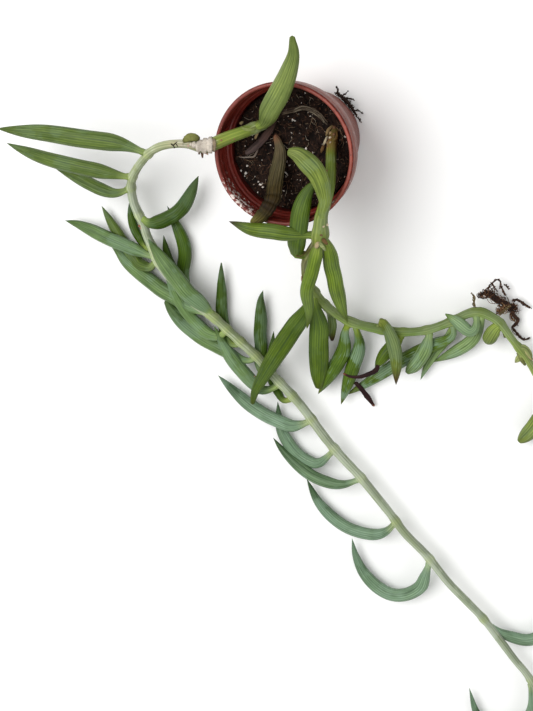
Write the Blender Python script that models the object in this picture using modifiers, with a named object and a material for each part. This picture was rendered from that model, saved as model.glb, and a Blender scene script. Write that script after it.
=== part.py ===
"""A potted string of bananas: a small nursery pot of peat with two trailing leafy stems.

All sizes below are in millimetres, with +Z up. The origin is the middle of the pot's foot, on the
surface that the pot stands on and that the stems trail over. The long stem leaves the pot to the
left and runs towards -Y, and the short one leaves it over the front and runs to the right.
"""

import math

import bmesh
import bpy
from mathutils import Vector

MM = 0.001
GAP = 0.3

# Pot: a 5.5 cm nursery pot
RIM_RADIUS = 27.5
POT_HEIGHT = 45.0
FOOT_RADIUS = 19.0
LIP_RADIUS = 0.85
COLLAR_HEIGHT = 10.0
COLLAR_TAPER = 0.6
COLLAR_STEP = 1.0
COLLAR_BORE = 25.7
WALL = 1.0
FLOOR = 1.2
FOOT_ROUND = 0.6
POT_STEPS = 40
NOTCHES = 6
NOTCH_WIDTH = 5.0
NOTCH_HEIGHT = 3.5
NOTCH_DEPTH = 3.5
FIRST_NOTCH = 40.0

# Soil: peat that ends a little below the pot's inner ledge
SOIL_LEVEL = 32.0
SOIL_SPOKES = 28
SOIL_RINGS = 15
HOLE_GAP = 0.5

# Stems: x, y, height and radius of hand-chosen points from inside the soil to the growing tip
LONG_STEM = [
    (-5, 13, 20, 2.4), (-6.5, 12, 26, 2.5), (-9, 11, 31, 2.5), (-14, 9.5, 40, 2.6),
    (-20, 8, 45, 2.5), (-26, 6, 48.2, 2.4), (-29.5, 5, 48.7, 3.0), (-33, 5.5, 48.5, 1.9),
    (-38, 6.5, 47.3, 1.6), (-47, 6, 44, 1.6), (-55, 3.5, 39, 1.7), (-63, -1.5, 32, 1.7),
    (-70, -7, 25, 1.8), (-74, -11, 20, 1.8), (-77, -16, 15, 1.9), (-78, -21.5, 12, 1.9),
    (-77.5, -26.5, 10, 1.9), (-76, -32, 9, 1.9), (-75, -37, 9, 1.9), (-73, -42.5, 9, 1.9),
    (-71.5, -48, 9, 1.9), (-66.5, -55.5, 9, 1.9), (-57, -66.5, 9, 1.95), (-49.5, -72.5, 9, 1.95),
    (-43, -79, 9, 1.95), (-37, -85, 9, 1.95), (-30.5, -91.5, 9, 1.95), (-24, -100, 9, 1.95),
    (-17, -108, 9, 1.9), (-12, -114.5, 9, 1.9), (-3.5, -128, 8.5, 1.9), (3.5, -137, 8.5, 1.9),
    (9.5, -144, 8.5, 1.85), (16.5, -153.5, 8.5, 1.85), (22.5, -162, 8.5, 1.8),
    (28.5, -171, 8.5, 1.8), (37, -180.5, 8.5, 1.8), (45.5, -192.5, 8.5, 1.75), (53.5, -202, 8, 1.75),
    (60, -209.5, 8, 1.7), (67.5, -220.5, 8, 1.7), (72.5, -228.5, 7.5, 1.65), (78, -236.5, 7, 1.6),
    (84, -250, 6.5, 1.5), (90, -261, 6, 1.35), (96, -269, 5.5, 1.2), (103, -276, 5, 1.0),
    (109, -282, 4.5, 0.8),
]
SHORT_STEM = [
    (14, 10, 20, 2.2), (15.5, 8.5, 26, 2.3), (17, 6, 31, 2.3), (17.2, 0, 37.5, 2.2),
    (18, -7, 43.5, 2.2), (17.7, -13, 46.8, 2.2), (15.8, -19, 48.3, 2.3), (14, -24, 48.2, 2.5),
    (13, -29.5, 47, 3.0), (11.2, -34, 45, 2.6), (7, -38.5, 41.5, 2.1), (3.4, -44, 37.5, 2.0),
    (1.6, -53, 31, 2.0),
    (2.3, -61.6, 22, 1.9), (5.2, -68.3, 16, 1.9), (9, -73.5, 11.5, 1.9), (14, -76.5, 9.5, 1.9),
    (23.3, -79.1, 8.5, 2.1), (32, -80.6, 8, 1.8), (42.5, -80, 8, 1.8), (53, -76.5, 8, 1.8),
    (60.5, -73, 8, 1.8), (65.5, -72.5, 8, 1.8), (69, -74, 8, 1.9), (73, -77, 8, 1.9),
    (77.5, -84, 7.5, 1.7), (82.5, -91, 7.5, 1.7), (86, -98, 7, 1.6), (90, -107, 7, 1.5),
    (93, -116, 6, 1.4), (97, -126, 5.5, 1.3), (102, -134, 5, 1.1), (108, -140, 4.5, 0.8),
]
STEM_STEP = 8.0

# Leaves: distance along the stem from its start in the soil, width, height at rest and at the
# tip, plan points from the neck to the tip, and its ending where that isn't POINTED. An ending is
# how soon the leaf has its full width, where it starts to narrow, over how much of its length,
# and how suddenly.
POINTED = (0.42, 0.52, 0.48, 2.1)
BLUNT = (0.3, 0.45, 0.62, 1.9)
ROUND = (0.42, 0.6, 0.44, 3.0)
CLUB = (0.75, 0.68, 0.36, 2.6)
FULL = (0.28, 0.52, 0.48, 2.1)
LONG_STEM_LEAVES = [
    # over the pot and along the arch
    (20, 8.1, 52, 62, [(-7.3, 12), (-1.4, 18.2), (4.2, 25), (9.2, 32), (12.6, 38.6), (12.8, 45)],
     BLUNT),
    (74, 8.0, 36, 32, [(-74, 8), (-90, 9), (-108, 12), (-125, 15)]),
    (97, 6.9, 22, 17, [(-87, -6), (-100, -2), (-116, 2), (-131, 7)]),
    (106, 5.7, 15, 11, [(-83, -17), (-89, -16), (-100, -11), (-113, -6)]),
    (121, 6.1, 9.3, 8, [(-74, -31), (-71, -31.7), (-65, -30), (-57.2, -24.8), (-48.6, -12.6)]),
    # the crowded stretch where the stem comes down
    (136, 4.1, 3.5, 4, [(-78, -42), (-82, -37), (-83.3, -30), (-83.5, -22.8)]),
    (140, 6.1, 7, 5, [(-73, -46), (-78, -47), (-85, -44), (-95, -37), (-114, -30)]),
    (143, 5.3, 3.2, 3.2, [(-74, -50), (-77, -51), (-84, -46), (-92, -38), (-97, -25)]),
    (174, 6.4, 3.3, 3.2, [(-60, -68.5), (-71, -63), (-82, -56.8), (-91.3, -49), (-96.8, -42.8)]),
    (166, 6.0, 3.2, 3.4, [(-60.5, -60), (-62.6, -54), (-61.2, -47), (-61.6, -40), (-66.5, -25.7)]),
    (177, 6.9, 13, 12, [(-52, -68), (-57, -60), (-62, -52), (-67, -45), (-72, -38)]),
    (161, 4.1, 3.2, 4, [(-64, -59), (-68, -51), (-69, -46), (-69.3, -38)]),
    (184, 6.1, 6, 7, [(-49, -81), (-54, -78), (-60, -70), (-65.7, -60), (-70, -52)]),
    # hooks along the middle, some over and some under the stem
    (201, 6.5, 3.5, 3.3, [(-35.5, -93), (-39, -92), (-51, -87), (-63.5, -77), (-73, -66.5)], ROUND),
    (216, 6.4, 8.5, 9, [(-25, -105), (-30, -106), (-34, -103), (-43, -91), (-49, -77)]),
    (192, 5.3, 3.2, 4, [(-42, -86), (-45, -82), (-47, -72), (-45, -61), (-45, -51)]),
    (209, 5.5, 3.2, 4, [(-29.5, -98), (-31.7, -94), (-31.7, -85), (-29.7, -75), (-27.7, -63)]),
    (224, 4.5, 3.2, 4, [(-20, -111), (-23, -110), (-27, -103), (-26, -92), (-24, -81)]),
    (237, 6.1, 4.3, 4, [(-13.5, -121.5), (-22.7, -121.7), (-34.7, -115.7), (-44.7, -107.7),
                        (-52.7, -100.7)]),
    # the even row of fish hooks
    (253, 6.1, 3.3, 3.2, [(-8, -138.5), (-13, -140), (-21, -134), (-24, -122), (-25, -111)]),
    (270, 5.3, 6.5, 4, [(3.5, -148.5), (-10.5, -147.5), (-22.5, -141.5), (-26.5, -135.5),
                        (-29.5, -129.5)]),
    (294, 5.1, 4, 3.5, [(19.5, -170), (11.5, -173), (4, -172), (-8, -164), (-16, -149)]),
    (316, 5.7, 4.5, 3.8, [(33.5, -196), (21.5, -203), (11.5, -200), (4.5, -190), (3.5, -176)]),
    (351, 5.3, 4, 4, [(67.5, -217.5), (77.5, -220.5), (85.5, -215.5), (89.5, -203.5)]),
    (385, 5.3, 4, 3.5, [(78, -254), (70, -269), (61, -269), (54, -259), (51, -246)]),
    # past the photo's edge
    (403, 5.0, 4, 4, [(94, -258), (103, -259), (110, -252), (113, -242)]),
    (414, 4.8, 3.8, 3.5, [(90, -270), (86, -280), (78, -281), (72, -273)]),
    (425, 4.2, 3.6, 3.5, [(106, -271), (114, -270), (119, -263)]),
    (429, 3.4, 3.2, 3, [(104, -284), (98, -287)]),
    (434, 2.8, 3.6, 3.4, [(114, -284), (119, -289)]),
]
SHORT_STEM_LEAVES = [
    # over the pot's rim
    (54, 8.8, 54, 56, [(14.3, -24), (17.2, -16), (17.3, -8.3), (13, -1.3), (5.4, 3)], CLUB),
    (69.5, 7.4, 48.6, 50, [(2.3, -39.2), (2.2, -35.2), (4.4, -26.7), (7.5, -17.3), (12, -8.7)]),
    (56.5, 6.1, 51.5, 48.6, [(5, -30), (-4, -28), (-14, -27), (-23, -24)]),
    # hanging in front of the pot
    (58.5, 7.4, 40, 27, [(10.7, -36.5), (8.1, -44.7), (4.3, -55), (1.1, -65), (-2, -72.7)], FULL),
    (56, 5.8, 37, 21, [(14.8, -35.2), (14.4, -43.8), (14.1, -51.8), (13.9, -59.6), (13.2, -72.8)]),
    (95, 8.8, 18.2, 14, [(-4.5, -72), (-15, -82), (-24, -96), (-34, -111)], FULL),
    (94, 8.4, 15, 7, [(0.5, -68), (-1, -82), (-3, -93), (-6, -106)]),
    (104, 3.5, 9, 6, [(3.5, -73), (3.4, -77), (3.4, -85)], ROUND),
    # on the surface, along the bend
    (119, 6.5, 8, 5, [(9, -80), (6.9, -89), (0.6, -99), (-6.4, -109)]),
    (121, 6.1, 6.2, 4, [(14.2, -80), (14, -87), (9.3, -98), (3, -114)]),
    (163, 5.7, 3.6, 3.2, [(48, -87), (39, -92), (28, -95), (16, -102), (6, -109)]),
    (133, 5.7, 13, 11.5, [(26, -79.5), (28.8, -84), (28.8, -93), (28, -103)]),
    (142, 4.3, 8.2, 9.4, [(32, -85), (29, -91), (24, -96), (19.5, -98.5)]),
    (152, 6.0, 8, 6, [(44, -82), (42, -88), (38, -94), (33, -99)], ROUND),
    (164, 4.1, 3.2, 3, [(51, -84), (45, -91), (41, -97), (38, -103)]),
    (173, 5.4, 11, 10, [(64, -77), (61, -80), (57, -76.5), (51, -72)], ROUND),
    (176, 5.3, 4.5, 3.5, [(65.2, -78.2), (61.2, -85.2), (54.2, -90.2), (44.2, -95.2)]),
    (185, 4.9, 5, 5, [(71, -81), (67, -84)], ROUND),
    (199, 2.6, 6.5, 6, [(80.2, -92), (78.2, -94.5)]),
    (197, 2.4, 8, 8, [(83, -88), (85.5, -92.5)]),
    # past the photo's edge
    (223, 6.5, 5, 5, [(88, -117), (83, -124), (78, -129)]),
    (233, 5.0, 4, 3.8, [(101, -119), (109, -124), (114, -132)]),
    (244, 4.6, 3.6, 3.4, [(97, -137), (96, -146), (100, -152)]),
    (249, 3.6, 3.4, 3.2, [(110, -136), (116, -140)]),
    (254, 2.8, 3.2, 3.0, [(112, -145), (116, -149)]),
]
LEAF_SIDES = 8
LEAF_RINGS = 10
NECK_RADIUS = 1.05
LEAF_THICKEST = 5.4

# Dried pieces on the soil and on the leaves: x, y, height and half-width
WITHERED_LEAF = [
    (-4.3, 6.6, 34.2, 0.8), (-3.6, 1, 34.8, 2.4), (-4.6, -6, 36.2, 3.2), (-6.6, -13, 40.3, 3.2),
    (-9, -19.2, 45.0, 3.0), (-13.2, -23.6, 46.4, 2.4), (-17, -26.6, 44.3, 1.6),
]
DRIED_LEAF = [(-4.9, 11.3, 1.0), (-8.1, 6.2, 1.7), (-13.5, 2.8, 1.7), (-19, -0.6, 1.2)]
DRY_STRAND = [(-2.2, 14, 0.5), (4, 16, 0.6), (9, 15, 0.5), (12.6, 12.4, 0.5), (13.6, 9.6, 0.4)]
BLACK_TIP = [(18.5, -99, 9.8, 0.9), (14, -100, 11.0, 0.7), (10, -99.5, 11.2, 0.5), (7, -98, 10.8, 0.4)]
BLACK_LEAF = [(12.4, -103, 6.0, 0.9), (14, -107, 4.4, 1.2), (16.5, -111, 2.4, 1.2), (18.5, -115, 1.2, 0.8)]

# Roots: x, y, height and radius
ROOT_TUFT = [
    [(63, -70.5, 8, 0.7), (63, -67, 6.4, 0.8), (64, -65.4, 4.2, 1.1), (68, -64.8, 3.6, 1.6),
     (72, -66, 3.6, 2.1), (75.5, -68, 3.4, 2.0), (78.5, -71.5, 2.8, 1.3), (79, -77, 2.4, 1.2),
     (78.6, -80.5, 2.0, 0.9), (80.5, -85, 1.6, 0.7), (84.5, -85.4, 1.2, 0.5)],
    [(75, -68.5, 3.6, 1.6), (74, -70.6, 5.2, 1.4), (72.6, -73.1, 7.0, 1.0)],
    [(69.5, -65, 3.4, 1.3), (69, -62, 4.2, 0.8), (71, -60, 3.4, 0.7), (74, -61.5, 2.8, 1.0),
     (73, -66, 3.0, 1.3)],
    [(75, -67.5, 3.4, 1.5), (79, -68.6, 2.6, 1.0), (82, -70, 2.0, 0.7), (84.5, -73, 1.4, 0.5)],
    [(66.5, -65, 3.6, 1.2), (66, -68, 3.0, 0.8), (67, -70, 2.4, 0.6)],
]
DRAIN_ROOTS = [
    [(14.6, 16.4, 2.0, 0.45), (13.0, 18.4, 3.2, 0.5), (11.2, 19.6, 5.2, 0.35)],
    [(14.6, 16.4, 2.0, 0.5), (16.6, 14.6, 3.4, 0.7), (17.6, 12.6, 1.6, 0.6), (18.8, 10.4, 3.0, 0.5),
     (19.6, 7.6, 1.2, 0.4), (22.2, 6.6, 2.6, 0.35)],
    [(13.9, 11.9, 2.2, 0.5), (15.2, 14.2, 1.6, 0.6), (14.6, 16.4, 2.0, 0.6)],
]

COLOURS = {
    "pot": ((0.16, 0.035, 0.025), 0.45),
    "soil": ((0.022, 0.014, 0.010), 0.95),
    "long_stem": ((0.13, 0.22, 0.10), 0.5),
    "short_stem": ((0.12, 0.22, 0.05), 0.5),
    "withered_leaf": ((0.075, 0.07, 0.045), 0.8),
    "dried_leaf": ((0.10, 0.075, 0.07), 0.85),
    "dry_strand": ((0.12, 0.095, 0.08), 0.9),
    "black_tip": ((0.02, 0.014, 0.010), 0.7),
    "black_leaf": ((0.02, 0.014, 0.012), 0.7),
    "root_tuft": ((0.05, 0.025, 0.014), 0.95),
    "drain_roots": ((0.02, 0.012, 0.009), 0.95),
}


def start_empty():
    """Removes what the file holds and returns the collection of the finished pieces."""
    for old in list(bpy.data.objects):
        bpy.data.objects.remove(old)
    pieces = bpy.data.collections.new("potted_string_of_bananas")
    bpy.context.scene.collection.children.link(pieces)
    return pieces


def material(name):
    colour, roughness = COLOURS[name]
    made = bpy.data.materials.new(name)
    made.use_nodes = True
    shader = made.node_tree.nodes["Principled BSDF"]
    shader.inputs["Base Color"].default_value = (*colour, 1.0)
    shader.inputs["Roughness"].default_value = roughness
    shader.inputs["Metallic"].default_value = 0.0
    made.diffuse_color = (*colour, 1.0)
    return made


def mesh_object(name, bm, collection):
    """An object of a bmesh that was shaped in millimetres."""
    bmesh.ops.scale(bm, vec=(MM, MM, MM), verts=bm.verts)
    mesh = bpy.data.meshes.new(name)
    bm.to_mesh(mesh)
    bm.free()
    made = bpy.data.objects.new(name, mesh)
    collection.objects.link(made)
    return made


def finish(piece):
    piece.data.materials.clear()
    piece.data.materials.append(material(piece.name))
    piece.data.shade_smooth()
    piece.data.set_sharp_from_angle(angle=math.radians(40))


def smooth_step(x):
    x = min(max(x, 0.0), 1.0)
    return x * x * (3 - 2 * x)


def through(points, step):
    """Points about a step apart on a smooth curve through hand-chosen ones (Catmull-Rom)."""
    points = [Vector(p) for p in points]
    first = points[0] * 2 - points[1]
    last = points[-1] * 2 - points[-2]
    ends = [first, *points, last]
    made = []
    for before, start, end, after in zip(ends, ends[1:], ends[2:], ends[3:]):
        count = max(1, round((end - start).length / step))
        for k in range(count):
            u = k / count
            made.append(0.5 * (2 * start + (end - before) * u
                               + (2 * before - 5 * start + 4 * end - after) * u * u
                               + (3 * start - before - 3 * end + after) * u ** 3))
    made.append(points[-1])
    return made


def at_distance(points, distance):
    """The place at a distance along a row of points."""
    for start, end in zip(points, points[1:]):
        length = (end - start).length
        if distance <= length:
            return start.lerp(end, distance / length)
        distance -= length
    return points[-1]


def route_length(points):
    return sum((end - start).length for start, end in zip(points, points[1:]))


def tube(name, points, collection, extra=0.0):
    """A closed mesh tube along points that hold x, y, height and radius."""
    curve = bpy.data.curves.new(name, "CURVE")
    curve.dimensions = "3D"
    curve.bevel_depth = MM
    curve.bevel_resolution = 2
    curve.use_fill_caps = True
    spline = curve.splines.new("POLY")
    spline.points.add(len(points) - 1)
    for point, (x, y, z, radius) in zip(spline.points, points):
        point.co = (x * MM, y * MM, z * MM, 1.0)
        point.radius = radius + extra
    guide = bpy.data.objects.new(name + "_curve", curve)
    collection.objects.link(guide)
    evaluated = guide.evaluated_get(bpy.context.evaluated_depsgraph_get())
    mesh = bpy.data.meshes.new_from_object(evaluated)
    bm = bmesh.new()
    bm.from_mesh(mesh)
    bmesh.ops.remove_doubles(bm, verts=bm.verts, dist=1e-6)
    bm.to_mesh(mesh)
    bm.free()
    made = bpy.data.objects.new(name, mesh)
    made.matrix_world = guide.matrix_world
    collection.objects.link(made)
    bpy.data.objects.remove(guide)
    return made


def stem_tube(name, route, collection, extra=0.0):
    return tube(name, through(route, STEM_STEP), collection, extra)


def blade_share(s, ending):
    """How much of its full width a leaf has at a share of its length, neck aside."""
    full_at, start, reach, power = ending
    if s < start:
        return 1.0
    return max(0.0, 1.0 - ((s - start) / reach) ** power)


def leaf_height(s, root, rest, tip):
    if s < 0.4:
        return root + (rest - root) * smooth_step(s / 0.4)
    return rest + (tip - rest) * smooth_step((s - 0.4) / 0.6)


def leaf_mesh(root, width, rest, tip, plan, ending=POINTED):
    """A banana-shaped leaf: a ball drawn out along a route from the stem's middle to a point."""
    flat = through([(root.x, root.y, 0.0)] + [(x, y, 0.0) for x, y in plan], 2.0)
    length = route_length(flat)
    thickness = min(0.85 * width, LEAF_THICKEST)

    def spine(s):
        place = at_distance(flat, s * length)
        return Vector((place.x, place.y, leaf_height(s, root.z, rest, tip)))

    bm = bmesh.new()
    bmesh.ops.create_uvsphere(bm, u_segments=LEAF_SIDES, v_segments=LEAF_RINGS, radius=1.0)
    for vert in bm.verts:
        s = 1 - math.acos(max(-1.0, min(1.0, vert.co.z))) / math.pi
        around = math.atan2(vert.co.y, vert.co.x)
        at_pole = s < 1e-4 or s > 1 - 1e-4
        s = 0.5 * s + 0.5 * math.sin(s * math.pi / 2)
        along = (spine(min(s + 0.02, 1.0)) - spine(max(s - 0.02, 0.0))).normalized()
        side = Vector((0, 0, 1)).cross(along).normalized()
        up = along.cross(side)
        grown = smooth_step(s / ending[0])
        half_width = (NECK_RADIUS + (width / 2 - NECK_RADIUS) * grown) * blade_share(s, ending)
        half_thick = (NECK_RADIUS + (thickness / 2 - NECK_RADIUS) * grown) * blade_share(s, ending)
        if at_pole:
            half_width = half_thick = 0.0
        vert.co = spine(s) + side * (half_width * math.cos(around)) + up * (half_thick * math.sin(around))
    return bm


def fuse(body, repeats):
    """Joins a collection of repeats to a body in one Boolean union and removes them."""
    union = body.modifiers.new("leaves", "BOOLEAN")
    union.operation = "UNION"
    union.operand_type = "COLLECTION"
    union.collection = repeats
    union.solver = "EXACT"
    evaluated = body.evaluated_get(bpy.context.evaluated_depsgraph_get())
    mesh = bpy.data.meshes.new_from_object(evaluated)
    body.modifiers.clear()
    body.data = mesh
    for old in list(repeats.objects):
        bpy.data.objects.remove(old)
    bpy.data.collections.remove(repeats)
    bm = bmesh.new()
    bm.from_mesh(mesh)
    bmesh.ops.remove_doubles(bm, verts=bm.verts, dist=1e-6)
    bmesh.ops.triangulate(bm, faces=bm.faces)
    bm.to_mesh(mesh)
    bm.free()


def leafy_stem(name, route, leaves, pieces):
    stem = stem_tube(name, route, pieces)
    centre = [Vector(point[:3]) for point in through(route, STEM_STEP)]
    repeats = bpy.data.collections.new(name + "_leaves")
    bpy.context.scene.collection.children.link(repeats)
    for distance, *shape in leaves:
        root = at_distance(centre, distance)
        mesh_object(name + "_leaf", leaf_mesh(root, *shape), repeats)
    fuse(stem, repeats)
    finish(stem)
    return stem


def body_radius(z):
    """Outer radius of the pot's tapered body at a height."""
    body_top = POT_HEIGHT - COLLAR_HEIGHT
    top_radius = RIM_RADIUS - COLLAR_TAPER - COLLAR_STEP
    return FOOT_RADIUS + (top_radius - FOOT_RADIUS) * z / body_top


def pot_profile():
    """From the middle of the floor up the inside, over the lip and down to the foot."""
    ledge = POT_HEIGHT - COLLAR_HEIGHT
    lip_x = RIM_RADIUS - LIP_RADIUS
    lip_z = POT_HEIGHT - LIP_RADIUS
    inside = [(0, FLOOR), (body_radius(FLOOR) - WALL - FOOT_ROUND, FLOOR),
              (body_radius(2) - WALL, FLOOR + FOOT_ROUND), (body_radius(ledge) - WALL, ledge),
              (COLLAR_BORE, ledge + 0.7)]
    lip = [(lip_x - LIP_RADIUS * math.cos(a), lip_z + LIP_RADIUS * math.sin(a))
           for a in (math.radians(45 * k) for k in range(5))]
    collar_foot = RIM_RADIUS - COLLAR_TAPER
    outside = [(RIM_RADIUS - 0.35, lip_z - 1.0), (collar_foot, ledge + 0.2),
               (collar_foot - 0.3, ledge - 0.1), (body_radius(ledge - 0.2), ledge - 0.2),
               (body_radius(FOOT_ROUND), FOOT_ROUND), (FOOT_RADIUS - 0.5, 0), (0, 0)]
    return inside + lip + outside


def pot(pieces, cutters):
    bm = bmesh.new()
    row = [bm.verts.new((x, 0, z)) for x, z in pot_profile()]
    for start, end in zip(row, row[1:]):
        bm.edges.new((start, end))
    made = mesh_object("pot", bm, pieces)
    turn = made.modifiers.new("turn", "SCREW")
    turn.steps = turn.render_steps = POT_STEPS
    turn.use_merge_vertices = True
    turn.merge_threshold = 1e-5
    for k in range(NOTCHES):
        angle = math.radians(FIRST_NOTCH + 360 * k / NOTCHES)
        middle = FOOT_RADIUS + 1 - NOTCH_DEPTH / 2
        box = bmesh.new()
        bmesh.ops.create_cube(box, size=1.0)
        bmesh.ops.scale(box, vec=(NOTCH_DEPTH + 2, NOTCH_WIDTH, 2 * NOTCH_HEIGHT), verts=box.verts)
        cutter = mesh_object(f"notch_cutter_{k}", box, cutters)
        cutter.location = (middle * MM * math.cos(angle), middle * MM * math.sin(angle), 0)
        cutter.rotation_euler = (0, 0, angle)
        cutter.hide_render = True
        cutter.display_type = "WIRE"
        cut = made.modifiers.new(f"notch_{k}", "BOOLEAN")
        cut.operation = "DIFFERENCE"
        cut.object = cutter
    finish(made)
    return made


def soil_height(x, y):
    """Height of the uneven soil at a place in the pot."""
    return (SOIL_LEVEL + 0.7 * math.sin(0.31 * x + 1.3) * math.cos(0.27 * y - 0.4)
            + 0.4 * math.sin(0.83 * x - 0.5 * y) + 0.35 * math.sin(0.47 * x + 0.92 * y + 2.0))


def soil(pieces, cutters):
    """A ball pressed into the pot: its upper part is the uneven top, the rest side and bottom."""
    bm = bmesh.new()
    bmesh.ops.create_uvsphere(bm, u_segments=SOIL_SPOKES, v_segments=SOIL_RINGS, radius=1.0)
    top_share = (SOIL_RINGS - 4) / SOIL_RINGS
    side_share = (SOIL_RINGS - 2) / SOIL_RINGS
    nearly = 0.01
    bottom = FLOOR + 2 * GAP
    for vert in bm.verts:
        down = math.acos(max(-1.0, min(1.0, vert.co.z))) / math.pi
        around = math.atan2(vert.co.y, vert.co.x)
        if down < top_share + nearly:
            radius = (body_radius(SOIL_LEVEL - 1) - WALL - 2 * GAP) * down / top_share
            z = soil_height(radius * math.cos(around), radius * math.sin(around))
        elif down < side_share + nearly:
            z = SOIL_LEVEL + (bottom - SOIL_LEVEL) * (down - top_share) / (side_share - top_share)
            radius = body_radius(z) - WALL - 2 * GAP
        else:
            z = bottom
            radius = (body_radius(z) - WALL - 2 * GAP) * (1 - down) / (1 - side_share)
        vert.co = (radius * math.cos(around), radius * math.sin(around), z)
    made = mesh_object("soil", bm, pieces)
    for name, route in (("long", LONG_STEM), ("short", SHORT_STEM)):
        hole = list(route[:4])
        x, y, z, radius = hole[0]
        hole[0] = (x, y, z - 1, radius)
        cutter = stem_tube(name + "_hole_cutter", hole, cutters, HOLE_GAP)
        cutter.hide_render = True
        cutter.display_type = "WIRE"
        cut = made.modifiers.new(name + "_hole", "BOOLEAN")
        cut.operation = "DIFFERENCE"
        cut.object = cutter
    finish(made)
    return made


def strip(name, route, flatness, pieces, sides=8):
    """A flattened tube with pointed ends along x, y, height and half-width, for a dried leaf."""
    row = through(route, 2.5)
    bm = bmesh.new()
    bmesh.ops.create_uvsphere(bm, u_segments=sides, v_segments=len(row) + 1, radius=1.0)
    centre = [Vector(point[:3]) for point in row]
    for vert in bm.verts:
        share = 1 - math.acos(max(-1.0, min(1.0, vert.co.z))) / math.pi
        place = share * (len(row) + 1) - 1
        around = math.atan2(vert.co.y, vert.co.x)
        k = min(max(int(round(place)), 0), len(row) - 1)
        along = (centre[min(k + 1, len(row) - 1)] - centre[max(k - 1, 0)]).normalized()
        side = Vector((0, 0, 1)).cross(along).normalized()
        up = along.cross(side)
        half = row[k][3]
        at_pole = place < -0.5 or place > len(row) - 0.5
        if at_pole:
            reach = -0.8 if place < 0 else 0.8
            vert.co = centre[k] + along * reach
        else:
            vert.co = centre[k] + side * (half * math.cos(around)) + up * (half * flatness * math.sin(around))
    made = mesh_object(name, bm, pieces)
    finish(made)
    return made


def on_soil(points, flatness):
    """Sets the height of points x, y and half-width so that they lie just clear of the soil."""
    return [(x, y, soil_height(x, y) + half * flatness + 3 * GAP, half) for x, y, half in points]


def roots(name, routes, pieces):
    body = tube(name, through(routes[0], 2.5), pieces)
    repeats = bpy.data.collections.new(name + "_branches")
    bpy.context.scene.collection.children.link(repeats)
    for route in routes[1:]:
        tube(name + "_branch", through(route, 2.5), repeats)
    fuse(body, repeats)
    finish(body)
    return body


def main():
    pieces = start_empty()
    cutters = bpy.data.collections.new("cutters")
    bpy.context.scene.collection.children.link(cutters)
    pot(pieces, cutters)
    soil(pieces, cutters)
    leafy_stem("long_stem", LONG_STEM, LONG_STEM_LEAVES, pieces)
    leafy_stem("short_stem", SHORT_STEM, SHORT_STEM_LEAVES, pieces)
    strip("withered_leaf", WITHERED_LEAF, 0.4, pieces)
    strip("dried_leaf", on_soil(DRIED_LEAF, 0.4), 0.4, pieces)
    strip("dry_strand", on_soil(DRY_STRAND, 0.8), 0.8, pieces, sides=6)
    strip("black_tip", BLACK_TIP, 0.7, pieces)
    strip("black_leaf", BLACK_LEAF, 0.5, pieces)
    roots("root_tuft", ROOT_TUFT, pieces)
    roots("drain_roots", DRAIN_ROOTS, pieces)


main()
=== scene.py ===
# %% [markdown]
# # A potted string of bananas
#
# A string of bananas is a trailing succulent. Its thin stems carry fleshy leaves that are bent
# like bananas, and they climb over the rim of their pot and creep along whatever they meet.
# The CAD model gives this plant at its real size, in plain solids. This lesson dresses it: finer
# stems and leaves in the same places, crumbly peat, dried roots, and a worn plastic pot.

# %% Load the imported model
import math
import random

import bmesh
import bpy
from mathutils import Matrix, Vector, noise


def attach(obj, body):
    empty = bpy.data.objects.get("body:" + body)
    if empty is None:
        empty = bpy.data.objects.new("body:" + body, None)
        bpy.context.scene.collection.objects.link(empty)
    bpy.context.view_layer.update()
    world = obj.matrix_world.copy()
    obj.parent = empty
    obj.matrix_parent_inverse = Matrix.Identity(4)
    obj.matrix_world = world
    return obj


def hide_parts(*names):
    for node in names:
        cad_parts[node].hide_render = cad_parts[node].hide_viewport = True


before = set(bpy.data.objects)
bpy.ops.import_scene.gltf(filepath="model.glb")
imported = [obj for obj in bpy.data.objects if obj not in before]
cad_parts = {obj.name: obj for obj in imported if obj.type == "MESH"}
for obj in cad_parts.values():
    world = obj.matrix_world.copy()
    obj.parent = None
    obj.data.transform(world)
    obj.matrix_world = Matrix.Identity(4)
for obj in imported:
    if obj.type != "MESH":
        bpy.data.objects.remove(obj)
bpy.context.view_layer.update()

print("CAD nodes:", ", ".join(sorted(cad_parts)))

# %% [markdown]
# ## The stage
#
# The plant is seen from above and a little from the right, by a camera about 60 cm away. Its
# picture stands upright along the line that has no sideways part, so the view is built from three
# directions that are at right angles. Everything is lit softly: a bright sky from all sides, one
# large lamp overhead that draws faint shadows on the pale floor, and a weak one in front that
# brightens the near sides.

# %% Camera, floor and lights
MM = 0.001
CAMERA_AT = Vector((160.7, 76.4, 549.6)) * MM
CAMERA_AIM = Vector((-29.7, -93.2, 0)) * MM
PICTURE_HEIGHT_PX = 711
FOCAL_PX = 1400
SKY_BRIGHTNESS = 0.64


def make_camera():
    data = bpy.data.cameras.new("camera")
    data.sensor_fit = "VERTICAL"
    data.sensor_height = 36.0
    data.lens = data.sensor_height * FOCAL_PX / PICTURE_HEIGHT_PX
    made = bpy.data.objects.new("camera", data)
    bpy.context.scene.collection.objects.link(made)
    back = (CAMERA_AT - CAMERA_AIM).normalized()
    up = back.cross(Vector((1, 0, 0))).normalized()
    right = up.cross(back)
    turn = Matrix((right, up, back)).transposed()
    made.matrix_world = Matrix.Translation(CAMERA_AT) @ turn.to_4x4()
    bpy.context.scene.camera = made


def make_lamp(name, place, size, watts, aim=(0, -0.1, 0)):
    data = bpy.data.lights.new(name, "AREA")
    data.shape = "DISK"
    data.size = size
    data.energy = watts
    made = bpy.data.objects.new(name, data)
    made.location = place
    made.rotation_euler = (Vector(aim) - Vector(place)).to_track_quat("-Z", "Y").to_euler()
    bpy.context.scene.collection.objects.link(made)


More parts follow.
